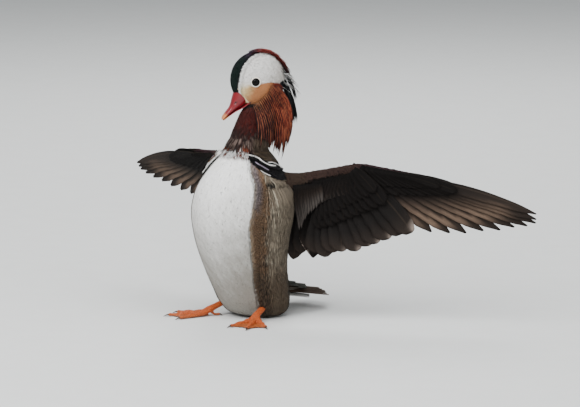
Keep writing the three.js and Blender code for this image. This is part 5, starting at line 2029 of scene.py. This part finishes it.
@dataclass
class Bill:
    """The red bill: the upper half with nostrils and a nail, and the lower half."""

    profile: Line = (
        (24, 10.6, 13, -8, -11), (34, 8.4, 8.4, -6.6, -9), (44, 6.8, 3.3, -3.6, -5.4),
        (53, 6.2, 2.2, -1.8, -3.2), (60.5, 4.2, 1.7, -1.1, -2.3),
    )
    tip: float = 57.4
    nostril: Pair = (36.8, 2.4)
    nostril_size: tuple[float, float, float] = (2.6, 1.1, 1.5)
    tones: tuple = ((24, Hue.BILL), (42, Hue.BILL), (52, Hue.BILL_PINK), (55.5, Hue.NAIL), (61, Hue.NAIL))

    def _half(self, name: str, top: int, low: int, drop: float) -> Piece:
        """One half of the bill, as a smooth solid."""
        turn, rings = circle(40), []
        for f in 20 + 40.6 * np.linspace(0, 1, 72) ** 0.8:
            row = stations(self.profile, max(f, 24))[0]
            half, high, deep = row[0], row[top] - drop, row[low]
            end = math.sqrt(max(1 - ((f - self.tip) / 3.3) ** 2, 0.02)) if f > self.tip else 1.0
            up = np.sin(turn)
            middle = (high + deep) / 2
            u = middle + (high - deep) / 2 * np.sign(up) * np.abs(up) ** 0.85 * (0.3 + 0.7 * end)
            hook = -0.7 * float(ease(f, 56, 60.5)) if top == 1 else 0.0
            l = half * end * np.sign(np.cos(turn)) * np.abs(np.cos(turn)) ** 0.8
            rings.append(coords(f, u + hook, l))
        piece = solid(name, [loft(HEAD.bill(np.array(rings)))])
        turn_outwards(piece)
        return piece

    def build(self) -> list[Piece]:
        """Both halves, with their tints."""
        upper = self._half("upper_bill", 1, 2, 0.0)
        lower = self._half("lower_bill", 2, 3, 0.35)
        for piece in (upper, lower):
            points, _ = vertex_data(piece)
            local = HEAD.read(points)
            b = math.radians(HEAD.pitch)
            f = -local[:, 0] * math.cos(b) - local[:, 1] * math.sin(b)
            u = -local[:, 0] * math.sin(b) + local[:, 1] * math.cos(b)
            gap = (f - self.nostril[0]) / self.nostril_size[0], (u - self.nostril[1]) / self.nostril_size[1]
            inward = (1 - gap[0] ** 2 - gap[1] ** 2).clip(0, 1)
            local[:, 2] -= np.sign(local[:, 2]) * inward * self.nostril_size[2]
            piece.data.vertices.foreach_set("co", (HEAD.place(local) * MM).astype(np.float32).ravel())
            piece.data.update()
            rim = np.maximum(fall(f, 24.6, 26.4 + 1.6 * ease(-u, 2, 8)), 0) * ease(-u, -9, -2)
            # painted shade: each nostril is darkened inside its dent
            paint(piece, blend(fade(self.tones, f), Hue.THROAT, rim.clip(0, 1)) * (1 - 0.9 * inward[:, None]))
        return [upper, lower]


@dataclass
class Eye:
    """One eye with its ring of pale lids."""

    p: float = -6.2
    q: float = -1.0
    l: float = 15.2
    radius: float = 6.0
    lid: float = 5.1
    lid_thick: float = 0.85

    def ball(self, side: int) -> Piece:
        """The eyeball."""
        work = bmesh.new()
        bmesh.ops.create_uvsphere(work, u_segments=40, v_segments=24, radius=self.radius * MM)
        middle = HEAD.place([self.p, self.q, side * self.l]) * MM
        bmesh.ops.translate(work, verts=work.verts, vec=Vector(middle))
        mesh = bpy.data.meshes.new("eye")
        work.to_mesh(mesh)
        work.free()
        mesh.shade_smooth()
        return stand(f"eyeball_{SIDES[side]}", mesh)

    def lids(self, side: int) -> Piece:
        """The ring of small pale feathers and the dark rim round the eye."""
        a, b = np.meshgrid(circle(48), circle(10), indexing="ij")
        seat = math.sqrt(self.radius**2 - self.lid**2)
        reach = self.lid + self.lid_thick * np.cos(b) * (1 + 0.1 * np.sin(9 * a))
        out = seat + self.lid_thick * 0.8 * np.sin(b)
        local = coords(self.p + reach * np.cos(a), self.q + reach * 0.97 * np.sin(a), side * (self.l + out))
        grid = np.arange(a.size).reshape(a.shape)
        ring = [np.roll(grid, shift, (0, 1)) for shift in ((0, 0), (-1, 0), (-1, -1), (0, -1))]
        faces = np.stack(ring, -1).reshape(-1, 4).tolist()
        piece = solid(f"lids_{SIDES[side]}", [(HEAD.place(local).reshape(-1, 3), faces)])
        turn_outwards(piece)
        inner = ease(reach.ravel(), self.lid - 0.35, self.lid - 0.75)
        paint(piece, blend(Hue.LID, Hue.PUPIL, inner))
        return piece


@dataclass
class Leg:
    """One leg: tarsus, three webbed toes and a hind toe, with claws."""

    side: int
    heading: float
    start: tuple[float, ...] = (27, -14, 17)
    ankle: tuple[float, ...] = (34, -40, 8)
    shin: float = 3.6
    joint: float = 4.3
    toes: Line = ((-30, 42), (0, 47), (28, 40))
    thick: tuple[float, ...] = (4.0, 3.0, 1.7)
    claw: float = 6.0
    hind: float = 11.0
    hind_thick: tuple[float, ...] = (2.4, 1.5, 1.5)
    hind_claw: float = 3.0
    web_top: float = 2.0
    web_low: float = 0.7
    clear: float = 0.5

    def way(self, spread: float) -> Array:
        """The direction over the floor of a toe that is spread from the foot's heading."""
        a = math.radians(spread - self.heading)
        return np.array([self.side * math.sin(a), -math.cos(a), 0.0])

    @staticmethod
    def _limb(path: Array, radii: Array) -> Shape:
        """A round limb along a path, a little flatter than wide."""
        run = unit(np.gradient(path, axis=0))
        aside = unit(np.cross(run, [0, 0, 1.0]))
        up = np.cross(aside, run)
        turn = circle(16)
        across, high = np.cos(turn)[None, :, None], np.sin(turn)[None, :, None] * 0.88
        return loft(path[:, None] + radii[:, None, None] * (aside[:, None] * across + up[:, None] * high))

    def _toe(self, origin: Array, way: Array, length: float, radii: tuple[float, ...], joints: int) -> Array:
        """A toe's path and radii from the ankle out, resting just over the floor, as rows of x, y, z and radius."""
        t = np.linspace(0, 1, 30)
        thick = np.interp(t, (0, 0.35, 1), radii) * (1 + 0.1 * np.cos(t * math.pi * 2 * joints))
        path = origin + way * (t * length)[:, None]
        path[:, 2] = np.maximum(origin[2] * (1 - t) ** 2.6, thick * 0.9 + self.clear)
        return np.concatenate([path, thick[:, None]], 1)

    def _claw(self, toe: Array, way: Array, length: float) -> Shape:
        """A claw at the end of a toe, bent down to the floor."""
        t = np.linspace(-0.25, 1, 12)
        path = toe[-1, :3] + way * (t * length)[:, None]
        thick = np.linspace(toe[-1, 3] * 0.75, 0.28, 12)
        path[:, 2] = np.maximum(toe[-1, 2] * (1 - t.clip(0, 1) ** 2), thick + self.clear * 0.5)
        return self._limb(path, thick)

    def build(self) -> list[Piece]:
        """The foot's skin and its claws."""
        start, ankle = (np.array(end, float) * (self.side, 1, 1) for end in (self.start, self.ankle))
        t = np.linspace(0, 1, 24)
        tarsus = start + (ankle - start) * t[:, None]
        limbs = [self._limb(tarsus, self.shin + (self.joint - self.shin) * ease(t, 0.75, 1.0))]
        toes, claws = [], []
        rows = [(spread, length, self.thick, 3, self.claw) for spread, length in self.toes]
        rows.append((180.0, self.hind, self.hind_thick, 1, self.hind_claw))
        for spread, length, thick, joints, claw in rows:
            way = self.way(spread)
            toes.append(self._toe(ankle, way, length, thick, joints))
            claws.append(self._claw(toes[-1], way, claw))
        limbs += [self._limb(toe[:, :3], toe[:, 3]) for toe in toes]
        skin = fuse(solid(f"foot_{SIDES[self.side]}", limbs + self._webs(toes[:3])), 0.7, 2)
        height = vertex_data(skin)[0][:, 2]
        paint(skin, blend(Hue.SKIN, Hue.WEB_SKIN, fall(height, 2.0, 3.2)))
        attach(skin.data, "Scaly", ease(height, 2.8, 3.6))
        nails = solid(f"claws_{SIDES[self.side]}", claws)
        turn_outwards(nails)
        paint(nails, Hue.CLAW.light * np.ones((len(nails.data.vertices), 1)))
        return [skin, nails]

    def _webs(self, toes: list[Array]) -> list[Shape]:
        """The webs between neighbouring toes, with a hollow front edge."""
        webs = []
        k = np.linspace(0, 1, 14)[:, None]
        for one, two in zip(toes[:-1], toes[1:]):
            rows = []
            for share in np.linspace(0.02, 0.94, 22):
                a, b = (toe[round(share * (len(toe) - 1)), :3] * (1, 1, 0) for toe in (one, two))
                back = unit((one[0] + two[0])[:3] * (0.5, 0.5, 0) - (a + b) / 2)
                rows.append(a + (b - a) * k + back * np.sin(k * math.pi) * 7 * share**2)
            sheet = np.array(rows)
            faces = [sheet + (0, 0, self.web_top), sheet[:, ::-1] + (0, 0, self.web_low)]
            webs.append(loft(np.concatenate(faces, axis=1)))
        return webs


class Studio:
    """The pale floor, the soft lights and the camera."""

    azimuth = 40.0
    elevation = 9.0
    distance = 6.0
    frame_width = 0.6554
    sensor = 36
    centre = (0.0384, 0.1253)
    lamps = (("key", 5.0, 50.0, 2.6, 118.0), ("fill", 85.0, 25.0, 2.2, 20.0), ("rim", 215.0, 40.0, 1.2, 34.0))
    lamp_distance = 2.4
    lamp_height = 0.15
    sky = (0.86, 0.90, 0.93, 1)
    sky_strength = 0.42
    floor_radius = 30

    def floor(self) -> None:
        """A large round floor whose edge lies out of view."""
        turn = circle(96)
        mesh = bpy.data.meshes.new("floor")
        rim = coords(np.cos(turn), np.sin(turn), 0) * self.floor_radius
        mesh.from_pydata(rim.tolist(), [], [tuple(range(96))])
        mesh.materials.append(Ground().make())
        stand("floor", mesh)

    def lights(self) -> None:
        """Soft daylight from above and the left of the camera, with a weak rim behind."""
        for name, azimuth, elevation, size, power in self.lamps:
            data = bpy.data.lights.new(name, "AREA")
            data.size, data.energy = size, power
            self._aim(name, data, azimuth, elevation, self.lamp_distance, Vector((0, 0, self.lamp_height)))
        world = bpy.data.worlds.new("studio")
        world.use_nodes = True
        back = world.node_tree.nodes["Background"]
        back.inputs["Color"].default_value = self.sky
        back.inputs["Strength"].default_value = self.sky_strength
        bpy.context.scene.world = world

    @staticmethod
    def _direction(azimuth: float, elevation: float) -> Vector:
        """The direction towards a place in the round, with 0 at the bird's front."""
        a, e = math.radians(azimuth), math.radians(elevation)
        return Vector((math.sin(a) * math.cos(e), -math.cos(a) * math.cos(e), math.sin(e)))

    def _aim(
        self, name: str, data: bpy.types.ID, azimuth: float, elevation: float, distance: float, target: Vector
    ) -> Piece:
        """A lamp or camera that looks at a target from a place in the round."""
        away = self._direction(azimuth, elevation)
        piece = stand(name, data)
        piece.location = target + away * distance
        piece.rotation_euler = away.to_track_quat("Z", "Y").to_euler()
        return piece

    def camera(self) -> None:
        """The photo's camera: a long lens from the bird's left front."""
        a = math.radians(self.azimuth)
        right = Vector((math.cos(a), math.sin(a), 0))
        above = self._direction(self.azimuth, self.elevation).cross(right)
        target = right * self.centre[0] + above * self.centre[1]
        data = bpy.data.cameras.new("camera")
        data.sensor_fit = "HORIZONTAL"
        data.sensor_width = self.sensor
        data.lens = self.sensor * self.distance / self.frame_width
        data.clip_end = 100
        camera = self._aim("camera", data, self.azimuth, self.elevation, self.distance, target)
        bpy.context.scene.camera = camera


def main() -> None:
    """Builds every piece over the frame."""
    logging.basicConfig(level=logging.INFO, format="%(name)s: %(message)s")
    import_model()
    studio = Studio()
    studio.camera()
    studio.lights()
    studio.floor()
    body = Body()
    skin = body.skin()
    points, _ = vertex_data(skin)
    part, where = body.sort(points)
    paint(skin, Markings.at(part, where, points))
    dress(skin, Skin().make(), "belly_feathers")
    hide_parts("torso", "neck", "head", "wing_left", "wing_right", "tail")
    white = Plumage("coat_smooth", barbs=12.0, depth=0.0001, root_painted_shade=0.07).make()
    down = Plumage("coat_down", barbs=14.0, depth=0.0001).make()
    small = Plumage("coat_fine", barbs=8.0, depth=0.00004, root_painted_shade=0.1).make()
    broad = {"depth": 0.0001, "sheen": 0.0}
    vanes = Plumage("flight_vanes", barbs=110.0, root_painted_shade=0.05, shaft=0.12, gloss=0.2, **broad).make()
    coverts = Plumage("covert_vanes", barbs=60.0, root_painted_shade=0.2, shaft=0.06, gloss=0.12, **broad).make()
    streak = {"shaft": 0.85, "shaft_hue": Hue.RUFF_SHAFT, "shaft_width": 0.13}
    hackles = Plumage("hackle_vanes", barbs=30.0, depth=0.00008, edge_painted_shade=0.95, **streak).make()
    plumes = Plumage("crest_vanes", barbs=30.0, depth=0.00008, edge_painted_shade=0.3, gloss=0.3).make()
    horn = Horn("bill_horn").make()
    coat = Coat(body, skin)
    trunk, turn, left = coat.part == Part.TRUNK, coat.where[:, 0], coat.roots[:, 0] >= 0
    for name, pick, finish, slot in (
        ("coat_belly", trunk & (turn < 0) & ~left, white, "belly_feathers"),
        ("coat_breast", trunk & (turn < 0) & left, white, "belly_feathers"),
        ("coat_back", trunk & (turn >= 0), down, "belly_feathers"),
        ("coat_neck", coat.part == Part.NECK, down, "throat_feathers"),
        ("coat_head", coat.part == Part.HEAD, small, "face_feathers"),
        ("coat_vent", coat.part == Part.TAIL, down, "tail_feathers"),
        ("coat_wing_left", coat.part == Part.WING_LEFT, coverts, "wing_feathers"),
        ("coat_wing_right", coat.part == Part.WING_RIGHT, coverts, "wing_feathers"),
    ):
        dress(coat.grow(name, pick), finish, slot)
    dress(Shoulder().build(body, coat.tree), white, "belly_feathers")
    for side in SIDES:
        for piece in Wing(side).build():
            dress(piece, vanes if piece.name.endswith("flight") else coverts, "wing_feathers")
    dress(Tail().build(), vanes, "tail_feathers")
    dress(Ruff().build(body), hackles, "face_feathers")
    dress(Crest().build(), plumes, "face_feathers")
    for piece, node in zip(Bill().build(), ("bill_upper", "bill_lower")):
        dress(piece, horn, "bill_horn")
        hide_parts(node)
    wet = WetEye().make()
    for side, word in SIDES.items():
        ball = Eye().ball(side)
        dress(ball, wet, "eye_gloss")
        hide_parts(f"eye_{word}")
        dress(Eye().lids(side), horn, "face_feathers")
    scaly = ScalySkin().make()
    claw_horn = Horn("claw_horn", roughness=0.4).make()
    for side, heading in ((LEFT, -28.0), (RIGHT, -44.0)):
        foot, claws = Leg(side, heading).build()
        Scutes().cover(foot, scaly)
        dress(foot, scaly, "leg_skin")
        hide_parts(f"leg_{SIDES[side]}")
        dress(claws, claw_horn, "leg_skin")


if __name__ == "__main__":
    main()
